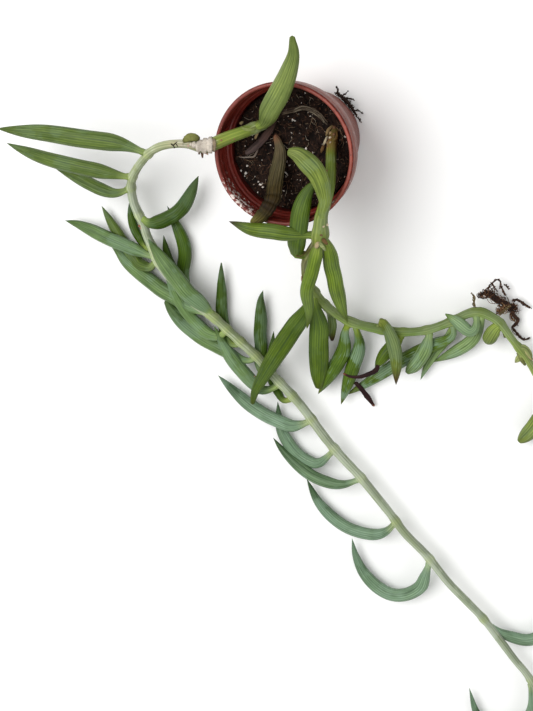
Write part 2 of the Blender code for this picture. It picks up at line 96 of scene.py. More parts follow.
make_camera()
make_lamp("overhead", (-0.35, 0.25, 0.9), size=0.9, watts=7.8)
make_lamp("fill", (0.7, -0.5, 0.5), size=0.6, watts=1.3)
world = bpy.data.worlds.new("sky")
world.use_nodes = True
world.node_tree.nodes["Background"].inputs["Color"].default_value = (1.0, 1.0, 1.0, 1.0)
world.node_tree.nodes["Background"].inputs["Strength"].default_value = SKY_BRIGHTNESS
bpy.context.scene.world = world
bpy.context.scene.view_settings.view_transform = "Standard"
print("camera, two lamps and a sky are in place")

# %% [markdown]
# ## Materials from nodes
#
# Every finish here is a small tree of nodes. A few helpers keep them short: they add a node and
# set or link its inputs, mix two colours, turn a number into a mask, or lay spots of one colour on
# another. Colours are given as they look on a screen, from 0 to 255, and are turned into the
# linear ones that a renderer needs.

# %% Node helpers


def paint(red, green, blue):
    """A linear colour of one given as it looks on a screen, from 0 to 255."""
    def linear(value):
        value /= 255
        return value / 12.92 if value <= 0.04045 else ((value + 0.055) / 1.055) ** 2.4
    return (linear(red), linear(green), linear(blue), 1.0)


SHEEN = 0.018
DARKEST_FLESH = 0.003


def flesh(red, green, blue):
    """The linear colour under a skin whose sheen adds a little white to what is seen."""
    return (*(max(part - SHEEN, DARKEST_FLESH) for part in paint(red, green, blue)[:3]), 1.0)


def blend(first, second, share):
    """The colour at a share of the way between two."""
    return tuple(a + (b - a) * share for a, b in zip(first, second))


def set_input(tree, socket, value):
    if isinstance(value, bpy.types.NodeSocket):
        tree.links.new(value, socket)
    else:
        socket.default_value = value


def add_node(tree, kind, inputs=None, **settings):
    made = tree.nodes.new("ShaderNode" + kind)
    for name, value in settings.items():
        setattr(made, name, value)
    for name, value in (inputs or {}).items():
        set_input(tree, made.inputs[name], value)
    return made


def mix(tree, share, first, second, how="MIX"):
    """A mix of two colours, where share is a number or a mask."""
    made = add_node(tree, "Mix", data_type="RGBA", blend_type=how)
    for index, value in ((0, share), (6, first), (7, second)):
        set_input(tree, made.inputs[index], value)
    return made.outputs[2]


def scaled(tree, value, low, high, at_low, at_high):
    """A number that goes from at_low to at_high while value goes from low to high."""
    return add_node(tree, "MapRange", {"Value": value, "From Min": low, "From Max": high,
                                       "To Min": at_low, "To Max": at_high}).outputs["Result"]


def mask(tree, value, low, high, top=1.0):
    """A mask that rises from 0 at low to top at high. With high under low it falls."""
    if low < high:
        return scaled(tree, value, low, high, 0.0, top)
    return scaled(tree, value, high, low, top, 0.0)


def times(tree, first, second):
    return add_node(tree, "Math", {0: first, 1: second}, operation="MULTIPLY").outputs["Value"]


def plus(tree, first, second):
    return add_node(tree, "Math", {0: first, 1: second}, operation="ADD").outputs["Value"]


def noise_at(tree, vector, scale, detail=3.0, roughness=0.55):
    return add_node(tree, "TexNoise", {"Vector": vector, "Scale": scale, "Detail": detail,
                                       "Roughness": roughness}).outputs["Fac"]


def spotted(tree, colour, spots, place, scale, low, high, most, detail=2.0, roughness=0.55):
    """A colour with spots of another, which begin where a noise passes low and are full at high."""
    pattern = noise_at(tree, place, scale, detail, roughness)
    return mix(tree, mask(tree, pattern, low, high, most), colour, spots)


def attribute(tree, name):
    """What a mesh notes for each of its points, as the outputs of a node."""
    return add_node(tree, "Attribute", attribute_name=name).outputs


def new_material(name):
    made = bpy.data.materials.new(name)
    made.use_nodes = True
    return made, made.node_tree, made.node_tree.nodes["Principled BSDF"]


def bump(tree, shader, height, distance, strength=1.0):
    made = add_node(tree, "Bump", {"Height": height, "Distance": distance, "Strength": strength})
    tree.links.new(made.outputs["Normal"], shader.inputs["Normal"])


def object_place(tree):
    return add_node(tree, "TexCoord").outputs["Object"]


print("node helpers are ready")

# %% The floor
FLOOR_REACH = 3.0
FLOOR_DROP = 0.0002


def floor_material():
    made, tree, shader = new_material("pale_floor")
    shade = spotted(tree, paint(248, 248, 247), paint(251, 251, 250), object_place(tree),
                    scale=12, low=0.35, high=0.65, most=1.0, detail=3.0)
    tree.links.new(shade, shader.inputs["Base Color"])
    shader.inputs["Roughness"].default_value = 0.75
    return made


bm = bmesh.new()
bmesh.ops.create_grid(bm, x_segments=2, y_segments=2, size=FLOOR_REACH)
bmesh.ops.translate(bm, vec=(0, 0, -FLOOR_DROP), verts=bm.verts)
floor_mesh = bpy.data.meshes.new("floor")
bm.to_mesh(floor_mesh)
bm.free()
floor = bpy.data.objects.new("floor", floor_mesh)
floor_mesh.materials.append(floor_material())
bpy.context.scene.collection.objects.link(floor)
print("the floor is", 2 * FLOOR_REACH, "m wide")

# %% [markdown]
# ## A ball drawn out along a route
#
# A stem, a leaf, a root and a fibre have one thing in common: they are closed skins round a
# curved line. So all of them start as a ball from bmesh, whose rings are then carried along a
# smooth route, each with its own width. The route goes through a few given points, in
# millimetres. While a ball is drawn out, every point of its skin notes two things for the
# materials: its tint, and its grain, a place in a stretched pattern that runs lengthwise and
# closes around the piece without a seam.

# %% Routes


def smooth_step(x):
    x = min(max(x, 0.0), 1.0)
    return x * x * (3 - 2 * x)


def through(points, step):
    """Points about a step apart on a smooth curve through given ones (Catmull-Rom)."""
    points = [Vector(p) for p in points]
    first = points[0] * 2 - points[1]
    last = points[-1] * 2 - points[-2]
    ends = [first, *points, last]
    made = []
    for before, start, end, after in zip(ends, ends[1:], ends[2:], ends[3:]):
        count = max(1, round((end - start).length / step))
        for k in range(count):
            u = k / count
            made.append(0.5 * (2 * start + (end - before) * u
                               + (2 * before - 5 * start + 4 * end - after) * u * u
                               + (3 * start - before - 3 * end + after) * u ** 3))
    made.append(points[-1])
    return made


def at_distance(points, distance):
    """The place at a distance along a row of points."""
    for start, end in zip(points, points[1:]):
        length = (end.xyz - start.xyz).length
        if distance <= length and length > 0:
            return start.lerp(end, distance / length)
        distance -= length
    return points[-1]


def route_length(points):
    return sum((end.xyz - start.xyz).length for start, end in zip(points, points[1:]))


def spaced(points, shares):
    """Points of a route at rising shares of its length."""
    length = route_length(points)
    made = []
    passed = 0.0
    k = 0
    for share in shares:
        while k < len(points) - 2 and passed + (points[k + 1].xyz - points[k].xyz).length < share * length:
            passed += (points[k + 1].xyz - points[k].xyz).length
            k += 1
        step = (points[k + 1].xyz - points[k].xyz).length
        made.append(points[k].lerp(points[k + 1], min((share * length - passed) / step, 1.0)))
    return made


def evenly(points, count):
    """The same route as count + 1 points at equal distances."""
    return spaced(points, [k / count for k in range(count + 1)])


def across_route(route, level):
    """Place, sideways and upward direction for each point of a route.

    A level route keeps its sideways direction flat, as a leaf that lies on something does.
    """
    places = [Vector(p[:3]) for p in route]
    side = None
    spots = []
    for k, place in enumerate(places):
        along = places[min(k + 1, len(places) - 1)] - places[max(k - 1, 0)]
        along.normalize()
        if level or side is None:
            side = Vector((0, 0, 1)).cross(along)
            if side.length < 0.01:
                side = Vector((1, 0, 0))
        side = (side - along * side.dot(along)).normalized()
        spots.append((place, side, along.cross(side)))
    return spots


print("a straight 10 mm route measures", route_length([Vector((0, 0, 0)), Vector((10, 0, 0))]))

# %% Drawing out a ball


def new_skin():
    """An empty bmesh whose points can hold a tint and a grain."""
    bm = bmesh.new()
    bm.verts.layers.float_color.new("tint")
    bm.verts.layers.float_vector.new("grain")
    return bm


def set_aside(bm, finish=0):
    """Keeps a shaped bmesh as one part of a piece, with its finish's place in the piece's list."""
    for face in bm.faces:
        face.material_index = finish
    mesh = bpy.data.meshes.new("part")
    bm.to_mesh(mesh)
    bm.free()
    return mesh


# Painted shade: every drawn-out skin has its tint darkened on its sides and underside.
UNDERSIDE_SHADE = 0.45
SHADE_AT_SIDE = 0.55
SHADE_SLOPE = 0.65


def even_skin(share, turn):
    """The ripple of a skin that has none."""
    return 1.0


def draw_out(route, sides, ring, ripple=even_skin, lines=12, level=False, stretch=0.05, drift=0.0,
             finish=0):
    """A ball drawn out along a route, with one ring for each of its points.

    ring gives the half-width, half-thickness and tint at a share of the route. ripple gives how
    far the skin stands out there at a turn around it, and lines how many grain lines fit around.
    The tint is painted darker on the sides and below than on top, as painted shade.
    """
    bm = new_skin()
    tint_layer = bm.verts.layers.float_color["tint"]
    grain_layer = bm.verts.layers.float_vector["grain"]
    spots = across_route(route, level)
    last = len(route) - 1
    length = route_length([Vector(p[:3]) for p in route])
    sizes = [ring(k / last) for k in range(last + 1)]
    reach = round(lines) / (2 * math.pi)
    bmesh.ops.create_uvsphere(bm, u_segments=sides, v_segments=last, radius=1.0)
    for vert in bm.verts:
        k = round((1 - math.acos(max(-1.0, min(1.0, vert.co.z))) / math.pi) * last)
        turn = math.atan2(vert.co.y, vert.co.x)
        place, side, up = spots[k]
        half_width, half_thick, tint = sizes[k]
        out = 0.0 if k in (0, last) else ripple(k / last, turn)
        sideways = out * math.cos(turn)
        upwards = out * math.sin(turn)
        vert.co = place + side * (half_width * sideways) + up * (half_thick * upwards)
        # painted shade on the sides and underside of the skin
        painted_shade = 1 - UNDERSIDE_SHADE * smooth_step(SHADE_AT_SIDE - SHADE_SLOPE * math.sin(turn))
        vert[tint_layer] = (*(part * painted_shade for part in tint[:3]), tint[3])
        vert[grain_layer] = (reach * math.cos(turn), reach * math.sin(turn),
                             drift + k / last * length * stretch)
    return set_aside(bm, finish)


def finished(name, parts, materials, node=None):
    """One piece of several parts that were shaped in millimetres, riding on the body."""
    bm = new_skin()
    for part in parts:
        bm.from_mesh(part)
        bpy.data.meshes.remove(part)
    bmesh.ops.scale(bm, vec=(MM, MM, MM), verts=bm.verts)
    mesh = bpy.data.meshes.new(name)
    bm.to_mesh(mesh)
    bm.free()
    for material in materials:
        mesh.materials.append(material)
    mesh.shade_smooth()
    made = bpy.data.objects.new(name, mesh)
    bpy.context.scene.collection.objects.link(made)
    if node:
        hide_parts(node)
    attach(made, "root")
    triangles = sum(len(face.vertices) - 2 for face in mesh.polygons)
    print(f"{name}: {triangles} triangles")
    return made


print("balls can be drawn out")

# %% [markdown]
# ## Waxy skin
#
# The leaves are fleshy and smooth, with fine pale and dark lines along them. A thin wax lies on
# them like the bloom on a grape, whole on some leaves and rubbed off in patches on others, and it
# makes them look blue-grey. The wax is stored as the fourth value of the tint. The lines are waves
# that read the grain, so they follow every bend, and a noise lets them wander a little and fade in
# places. Light goes a little way into the flesh.

# %% Leaf and stem material
LINE_WANDER = 2.5
PALE_LINE = (1.65, 1.5, 1.55, 1.0)
DEEP_LINE = (0.7, 0.75, 0.66, 1.0)
BLUE_BLOOM = (126, 151, 128)
SPECK = (66, 52, 38)
ROUGHER_WITH_WAX = 0.14
GLOW = 0.06
GLOW_REACH = (0.8, 1.0, 0.35)
LINE_DEPTH = 0.05 * MM


def long_lines(tree, grain, wander):
    """Peaks along the grain's lines, from -1 to 1, that wander a little."""
    parts = add_node(tree, "SeparateXYZ", {"Vector": grain}).outputs
    angle = add_node(tree, "Math", {0: parts["Y"], 1: parts["X"]}, operation="ARCTAN2")
    across = add_node(tree, "VectorMath", {0: grain, 1: (1.0, 1.0, 0.0)}, operation="MULTIPLY")
    reach = add_node(tree, "VectorMath", {0: across.outputs["Vector"]}, operation="LENGTH")
    phase = times(tree, angle.outputs["Value"], times(tree, reach.outputs["Value"], 2 * math.pi))
    shift = plus(tree, times(tree, wander, LINE_WANDER), phase)
    return add_node(tree, "Math", {0: shift}, operation="COSINE").outputs["Value"]


def skin_material(name, line_strength, dark, dark_strength, roughness, bloom=BLUE_BLOOM, gloss=0.22):
    """A skin with dark streaks, lines, patches of wax, and a little dust and dirt."""
    made, tree, shader = new_material(name)
    tint = attribute(tree, "tint")
    grain = attribute(tree, "grain")["Vector"]
    place = object_place(tree)
    streaks = noise_at(tree, grain, scale=0.8, detail=4, roughness=0.65)
    fine_streaks = noise_at(tree, grain, scale=2.6, detail=3, roughness=0.6)
    lines = long_lines(tree, grain, streaks)
    colour = spotted(tree, tint["Color"], flesh(*dark), place, scale=110, low=0.42, high=0.72,
                     most=0.3, detail=3)
    streaked = mask(tree, streaks, low=0.52, high=0.36, top=dark_strength)
    colour = mix(tree, streaked, colour, flesh(*dark))
    rubbed = noise_at(tree, place, scale=85, detail=2)
    patches = plus(tree, times(tree, rubbed, 0.7), times(tree, fine_streaks, 0.3))
    wax = times(tree, mask(tree, patches, low=0.50, high=0.53), tint["Alpha"])
    colour = mix(tree, wax, colour, flesh(*bloom))
    shown = mask(tree, fine_streaks, low=0.42, high=0.56, top=line_strength)
    pale = times(tree, mask(tree, lines, low=0.45, high=0.95), shown)
    colour = mix(tree, pale, colour, PALE_LINE, "MULTIPLY")
    shown = mask(tree, fine_streaks, low=0.6, high=0.46, top=line_strength)
    deep = times(tree, mask(tree, lines, low=-0.1, high=-0.8), shown)
    colour = mix(tree, deep, colour, DEEP_LINE, "MULTIPLY")
    colour = spotted(tree, colour, flesh(*bloom), place, scale=2600, low=0.70, high=0.75, most=0.3)
    colour = spotted(tree, colour, flesh(*SPECK), place, scale=1300, low=0.745, high=0.76, most=0.6)
    tree.links.new(colour, shader.inputs["Base Color"])
    rough = scaled(tree, patches, low=0.45, high=0.55, at_low=roughness,
                   at_high=roughness + ROUGHER_WITH_WAX)
    tree.links.new(rough, shader.inputs["Roughness"])
    shader.inputs["Specular IOR Level"].default_value = gloss
    shader.inputs["Subsurface Weight"].default_value = GLOW
    shader.inputs["Subsurface Radius"].default_value = GLOW_REACH
    shader.inputs["Subsurface Scale"].default_value = MM
    bump(tree, shader, lines, distance=LINE_DEPTH, strength=0.5)
    return made


leaf_skin = skin_material("waxy_leaf", line_strength=0.85, dark=(42, 60, 18), dark_strength=0.5,
                          roughness=0.42)
stem_skin = skin_material("ribbed_stem", line_strength=0.65, dark=(112, 128, 80),
                          dark_strength=0.4, roughness=0.5, bloom=(190, 200, 182))
print("two plant skins are mixed")

# %% [markdown]
# ## Stems
#
# A stem is a ribbed tube that swells a little where a leaf grows from it. Its colour changes along
# its way: brown and corky where it leaves the peat, bright green over the pot, and pale grey-green
# on the long runs that have hardened.

# %% Stem routes
# Points x, y, height and radius of each stem
LONG_STEM = [
    (-5, 13, 20, 2.2), (-6.5, 12, 26, 2.2), (-9, 11, 31, 2.2), (-14, 9.5, 40, 2.2),
    (-20, 8, 45, 2.4), (-26, 6, 48.2, 2.5), (-29.5, 5, 48.7, 2.2), (-33, 5.5, 48.5, 1.9),
    (-38, 6.5, 47.3, 1.6), (-47, 6, 44, 1.6), (-55, 3.5, 39, 1.7), (-63, -1.5, 32, 1.7),
    (-70, -7, 25, 1.8), (-74, -11, 20, 1.8), (-77, -16, 15, 1.9), (-78, -21.5, 12, 1.9),
    (-77.5, -26.5, 10, 1.9), (-76, -32, 9, 1.9), (-75, -37, 9, 1.9), (-73, -42.5, 9, 1.9),
    (-71.5, -48, 9, 1.9), (-66.5, -55.5, 9, 1.9), (-57, -66.5, 9, 1.95), (-49.5, -72.5, 9, 1.95),
    (-43, -79, 9, 1.95), (-37, -85, 9, 1.95), (-30.5, -91.5, 9, 1.95), (-24, -100, 9, 1.95),
    (-17, -108, 9, 1.9), (-12, -114.5, 9, 1.9), (-3.5, -128, 8.5, 1.9), (3.5, -137, 8.5, 1.9),
    (9.5, -144, 8.5, 1.85), (16.5, -153.5, 8.5, 1.85), (22.5, -162, 8.5, 1.8),
    (28.5, -171, 8.5, 1.8), (37, -180.5, 8.5, 1.8), (45.5, -192.5, 8.5, 1.75),
    (53.5, -202, 8, 1.75), (60, -209.5, 8, 1.7), (67.5, -220.5, 8, 1.7), (72.5, -228.5, 7.5, 1.65),
    (78, -236.5, 7, 1.6), (84, -250, 6.5, 1.5), (90, -261, 6, 1.35), (96, -269, 5.5, 1.2),
    (103, -276, 5, 1.0), (109, -282, 4.5, 0.8),
]
SHORT_STEM = [
    (14, 10, 20, 2.0), (15.5, 8.5, 26, 2.0), (17, 6, 31, 2.0), (17.2, 0, 37.5, 1.95),
    (18, -7, 43.5, 2.0), (17.7, -13, 46.8, 2.1), (15.8, -19, 48.3, 2.3), (14, -24, 48.2, 2.5),
    (13, -29.5, 47, 2.9), (11.2, -34, 45, 2.6), (7, -38.5, 41.5, 2.1), (3.4, -44, 37.5, 2.0),
    (1.6, -53, 31, 2.0), (2.3, -61.6, 22, 1.9), (5.2, -68.3, 16, 1.9), (9, -73.5, 11.5, 1.9),
    (14, -76.5, 9.5, 1.9), (23.3, -79.1, 8.5, 2.1), (32, -80.6, 8, 1.8), (42.5, -80, 8, 1.8),
    (53, -76.5, 8, 1.8), (60.5, -73, 8, 1.8), (65.5, -72.5, 8, 1.8), (69, -74, 8, 1.9),
    (73, -77, 8, 1.8), (77.5, -84, 7.5, 1.5), (82.5, -91, 7.5, 1.45), (86, -98, 7, 1.4),
    (90, -107, 7, 1.35), (93, -116, 6, 1.3), (97, -126, 5.5, 1.3), (102, -134, 5, 1.1),
    (108, -140, 4.5, 0.8),
]

# Stem colours: distance along the stem and colour
LONG_STEM_COLOURS = [
    (0, (96, 84, 52)), (16, (120, 134, 64)), (30, (132, 150, 72)), (38, (122, 128, 60)),
    (42, (124, 112, 58)), (46, (128, 112, 74)), (50, (164, 156, 134)), (58, (164, 166, 130)),
    (66, (168, 174, 140)), (80, (160, 168, 132)), (95, (166, 176, 134)), (112, (176, 186, 162)),
    (140, (176, 186, 158)), (176, (160, 172, 134)), (210, (162, 174, 138)), (240, (172, 182, 158)),
    (300, (168, 178, 154)), (350, (172, 182, 162)), (400, (168, 178, 158)), (445, (160, 174, 150)),
]
SHORT_STEM_COLOURS = [
    (0, (84, 62, 40)), (17, (110, 88, 56)), (21, (124, 110, 62)), (24, (108, 124, 54)),
    (40, (116, 136, 58)), (48, (114, 130, 58)), (53, (110, 124, 56)), (60, (96, 92, 50)),
    (70, (92, 84, 48)), (82, (104, 104, 58)), (92, (136, 152, 80)), (110, (134, 154, 86)),
    (130, (124, 148, 84)), (150, (120, 144, 82)), (176, (130, 152, 90)), (192, (140, 160, 92)),
    (204, (146, 162, 90)), (250, (142, 156, 82)),
]
LONG_KNOT_COLOUR = (178, 194, 114)
SHORT_KNOT_COLOUR = (134, 152, 72)
LONG_STEM_WAX = 0.25
SHORT_STEM_WAX = 0.08


def along_colours(stations, distance):
    """The colour at a distance, between the stations before and after it."""
    for (start, first), (end, second) in zip(stations, stations[1:]):
        if distance <= end:
            return blend(flesh(*first), flesh(*second), (distance - start) / (end - start))
    return flesh(*stations[-1][1])


print(len(LONG_STEM), "and", len(SHORT_STEM), "hand-chosen points")

# %% Stem shape
STEM_SIDES = 24
STEM_RING = 0.9
STEM_RIBS = 6
STEM_RIB_HEIGHT = 0.035
STEM_RIB_TWIST = 0.02
STEM_UNEVENNESS = 0.05
KNOT_SWELLING = 0.3
KNOT_LENGTH = 1.6
KNOT_TINGE = 0.45


def stem(route, colours, knots, knot_colour, wax):
    """A ribbed stem that swells at its knots, which are distances along it."""
    fine = through(route, 2.0)
    length = route_length(fine)
    rings = round(length / STEM_RING)
    row = evenly(fine, rings)

    def ring(share):
        distance = share * length
        radius = row[round(share * rings)][3]
        near = sum(math.exp(-((distance - knot) / KNOT_LENGTH) ** 2)
                   for knot in knots if abs(distance - knot) < 4 * KNOT_LENGTH)
        radius += KNOT_SWELLING * near
        radius *= 1 + STEM_UNEVENNESS * noise.noise(Vector((distance * 0.25, 0.0, 3.0)))
        tint = blend(along_colours(colours, distance), flesh(*knot_colour), KNOT_TINGE * min(near, 1.0))
        return radius, radius, (*tint[:3], wax)

    def ripple(share, turn):
        return 1 + STEM_RIB_HEIGHT * math.cos(STEM_RIBS * turn + share * length * STEM_RIB_TWIST)

    return draw_out(row, STEM_SIDES, ring, ripple, lines=11, stretch=0.03)


print("stems have", STEM_SIDES, "sides")

# %% [markdown]
# ## Leaves
#
# Each leaf is a ball drawn out from the middle of the stem to a point. It has a thin neck, grows
# to its full width, and narrows again, faster or slower: that is its ending. Shallow ribs run
# along it, and a narrow channel along its top, where the real leaf lets light in. The looks give
# the colours of the neck, the body and the tip, and how much wax lies on the leaf.

# %% Leaf looks and endings
# Endings: the share of its length at which a leaf has its full width, the share at which it
# starts to narrow, over how much of its length it does so, and how late most of that comes
POINTED = (0.42, 0.52, 0.48, 2.1)
BLUNT = (0.3, 0.45, 0.62, 1.9)
ROUND = (0.42, 0.6, 0.44, 3.0)
CLUB = (0.75, 0.68, 0.36, 2.6)
FULL = (0.28, 0.52, 0.48, 2.1)
LONG = (0.28, 0.5, 0.5, 2.6)
TAPERED = (0.3, 0.4, 0.62, 2.2)
HOOK = (0.55, 0.6, 0.42, 1.7)
BROAD = (0.16, 0.4, 0.62, 2.3)
SLOW = (0.4, 0.5, 0.5, 2.4)
EVEN = (0.24, 0.5, 0.5, 2.4)

# Looks: neck, body and tip colours, wax, and where the tip's colour starts
LOOKS = {
    "sage": ((142, 160, 82), (120, 135, 76), (102, 116, 60), 0.0, 0.7),
    "arch": ((140, 156, 90), (94, 112, 58), (84, 100, 52), 0.14, 0.7),
    "deep": ((136, 156, 78), (68, 88, 34), (66, 80, 38), 0.12, 0.7),
    "dark": ((144, 160, 84), (72, 94, 40), (62, 78, 36), 0.25, 0.75),
    "moss": ((154, 174, 104), (108, 133, 84), (82, 104, 58), 0.35, 0.7),
    "blue": ((170, 186, 138), (121, 146, 119), (70, 92, 64), 0.5, 0.5),
    "fir": ((166, 184, 134), (106, 130, 98), (72, 94, 64), 0.4, 0.5),
    "lime": ((148, 160, 78), (124, 139, 68), (112, 124, 66), 0.15, 0.6),
    "olive": ((120, 138, 62), (84, 104, 28), (80, 92, 32), 0.05, 0.85),
    "grass": ((126, 144, 64), (106, 127, 50), (92, 104, 40), 0.06, 0.75),
    "tipped": ((126, 144, 64), (98, 116, 46), (64, 46, 36), 0.06, 0.76),
    "pond": ((136, 154, 64), (90, 114, 46), (96, 106, 48), 0.6, 0.8),
    "mint": ((152, 172, 92), (126, 150, 98), (92, 114, 60), 0.4, 0.8),
    "bud": ((150, 160, 100), (152, 158, 104), (120, 106, 70), 0.1, 0.8),
    "scorched": ((140, 150, 74), (106, 120, 56), (78, 48, 40), 0.25, 0.7),
}
print(len(LOOKS), "leaf looks")

# %% Leaf tables
# Look, distance along the stem, width, height at rest and at the tip, plan points from the neck
# to the tip, and the ending where it isn't POINTED
LONG_STEM_LEAVES = [
    ("sage", 20, 8.1, 52, 62, [(-7.5, 12), (-1.5, 18), (4, 25), (9, 32), (12.5, 38.5),
                               (13, 45)], BLUNT),
    ("arch", 74, 7.4, 34, 31, [(-65.5, 4.5), (-72.5, 6.5), (-85.5, 8.5), (-102.5, 11.5),
                               (-116, 13), (-127, 14.5)], LONG),
    ("arch", 97, 6.4, 22, 17, [(-77, -9), (-87, -6.5), (-99.5, -3.5), (-113.5, 0),
                               (-124, 3.5), (-131, 6.5)], LONG),
    ("arch", 106, 5.7, 15, 11, [(-83, -17), (-89, -16), (-100, -11), (-113, -6)]),
    ("deep", 121, 6.3, 9.3, 8, [(-74, -31), (-71, -31.5), (-65, -30), (-57, -25),
                                (-49, -12.5)], LONG),
    ("dark", 136, 4.1, 3.5, 4, [(-78, -42), (-82, -37), (-83.5, -30), (-83.5, -23)]),
    ("moss", 140, 6.1, 7, 5, [(-74, -46), (-81, -43.5), (-87.5, -41), (-94.5, -38),
                              (-102, -34.5), (-108, -32), (-114.5, -30)], LONG),
    ("arch", 143, 5.3, 3.3, 3.3, [(-73, -49), (-75.5, -51), (-79, -51), (-83, -49.5),
                                  (-87.5, -43), (-91.5, -36), (-97, -24.5)], LONG),
    ("moss", 174, 6.8, 3.5, 3.3, [(-60, -69), (-71.5, -63.5), (-78, -58.5), (-83, -54.5),
                                  (-88.5, -49.5), (-92.5, -44), (-96, -40.5)], LONG),
    ("dark", 166, 6.0, 3.2, 3.4, [(-60.5, -60), (-62.5, -54), (-61, -47), (-61.5, -40),
                                  (-66.5, -25.5)]),
    ("moss", 177, 7.4, 14, 13, [(-51.5, -68.5), (-54.5, -64.5), (-57.5, -61), (-61.5, -55),
                                (-66.5, -48), (-70, -42.5), (-73, -37.5)], LONG),
    ("dark", 161, 4.1, 3.2, 4, [(-64, -59), (-68, -51), (-69, -46), (-69.5, -38)]),
    ("moss", 184, 5.6, 6, 8, [(-47.5, -82), (-53, -81), (-57.5, -77.5), (-61, -73),
                              (-64, -67.5), (-66, -62.5), (-67.5, -57), (-69, -51.5)], LONG),
    ("moss", 201, 6.7, 3.6, 3.4, [(-35.5, -93), (-43, -91.5), (-52, -87), (-56.5, -84.5),
                                  (-61, -81), (-65.5, -77), (-69.5, -72), (-72.5, -67)], ROUND),
    ("moss", 216, 6.4, 8.5, 9, [(-25, -105), (-30, -106), (-34, -103), (-43, -91), (-49, -77)]),
    ("dark", 192, 5.4, 3.2, 4, [(-42, -85.5), (-46, -80), (-47, -73), (-46, -64.5),
                                (-45.5, -59), (-44.5, -50.5)], TAPERED),
    ("dark", 209, 5.8, 3.2, 4, [(-29.5, -98), (-31, -93.5), (-30.5, -87.5), (-30.5, -82.5),
                                (-29.5, -76.5), (-28.5, -67.5), (-27, -63)], LONG),
    ("dark", 224, 4.5, 3.2, 4, [(-20, -111), (-23, -110), (-27, -103), (-26, -92), (-24, -81)]),
    ("blue", 237, 6.1, 4.3, 4, [(-15, -122), (-20.5, -123), (-29.5, -120), (-38, -114.5),
                                (-44.5, -108.5), (-51.5, -101)], LONG),
    ("blue", 253, 5.6, 3.3, 3.2, [(-8, -140), (-13.5, -140.5), (-19, -137), (-23.5, -130),
                                  (-25.5, -123.5), (-25.5, -113)], SLOW),
    ("fir", 270, 5.4, 6.5, 4, [(2.5, -149), (-4, -149), (-12, -146), (-19.5, -140.5), (-25.5, -134.5),
                               (-29, -129.5)], SLOW),
    ("blue", 294, 5.4, 4, 3.5, [(19.5, -170.5), (14, -173), (7.5, -173), (0.5, -170.5), (-6, -165.5),
                                (-11.5, -158.5), (-15.5, -148.5)], LONG),
    ("blue", 316, 5.9, 4.5, 3.8, [(35.5, -190.5), (32.5, -197), (26, -201.5), (19, -202),
                                  (12.5, -198.5), (7, -192), (4, -184), (3, -176)], EVEN),
    ("blue", 351, 5.3, 4, 4, [(67.5, -217.5), (77.5, -220.5), (85.5, -215.5), (89.5, -203.5)]),
    ("blue", 385, 5.3, 4, 3.5, [(78, -254), (70, -269), (61, -269), (54, -259), (51, -246)]),
    ("blue", 403, 5.0, 4, 4, [(94, -258), (103, -259), (110, -252), (113, -242)]),
    ("blue", 414, 4.8, 3.8, 3.5, [(90, -270), (86, -280), (78, -281), (72, -273)]),
    ("blue", 425, 4.2, 3.6, 3.5, [(106, -271), (114, -270), (119, -263)]),
    ("blue", 429, 3.4, 3.2, 3, [(104, -284), (98, -287)]),
    ("blue", 434, 2.8, 3.6, 3.4, [(114, -284), (119, -289)]),
]
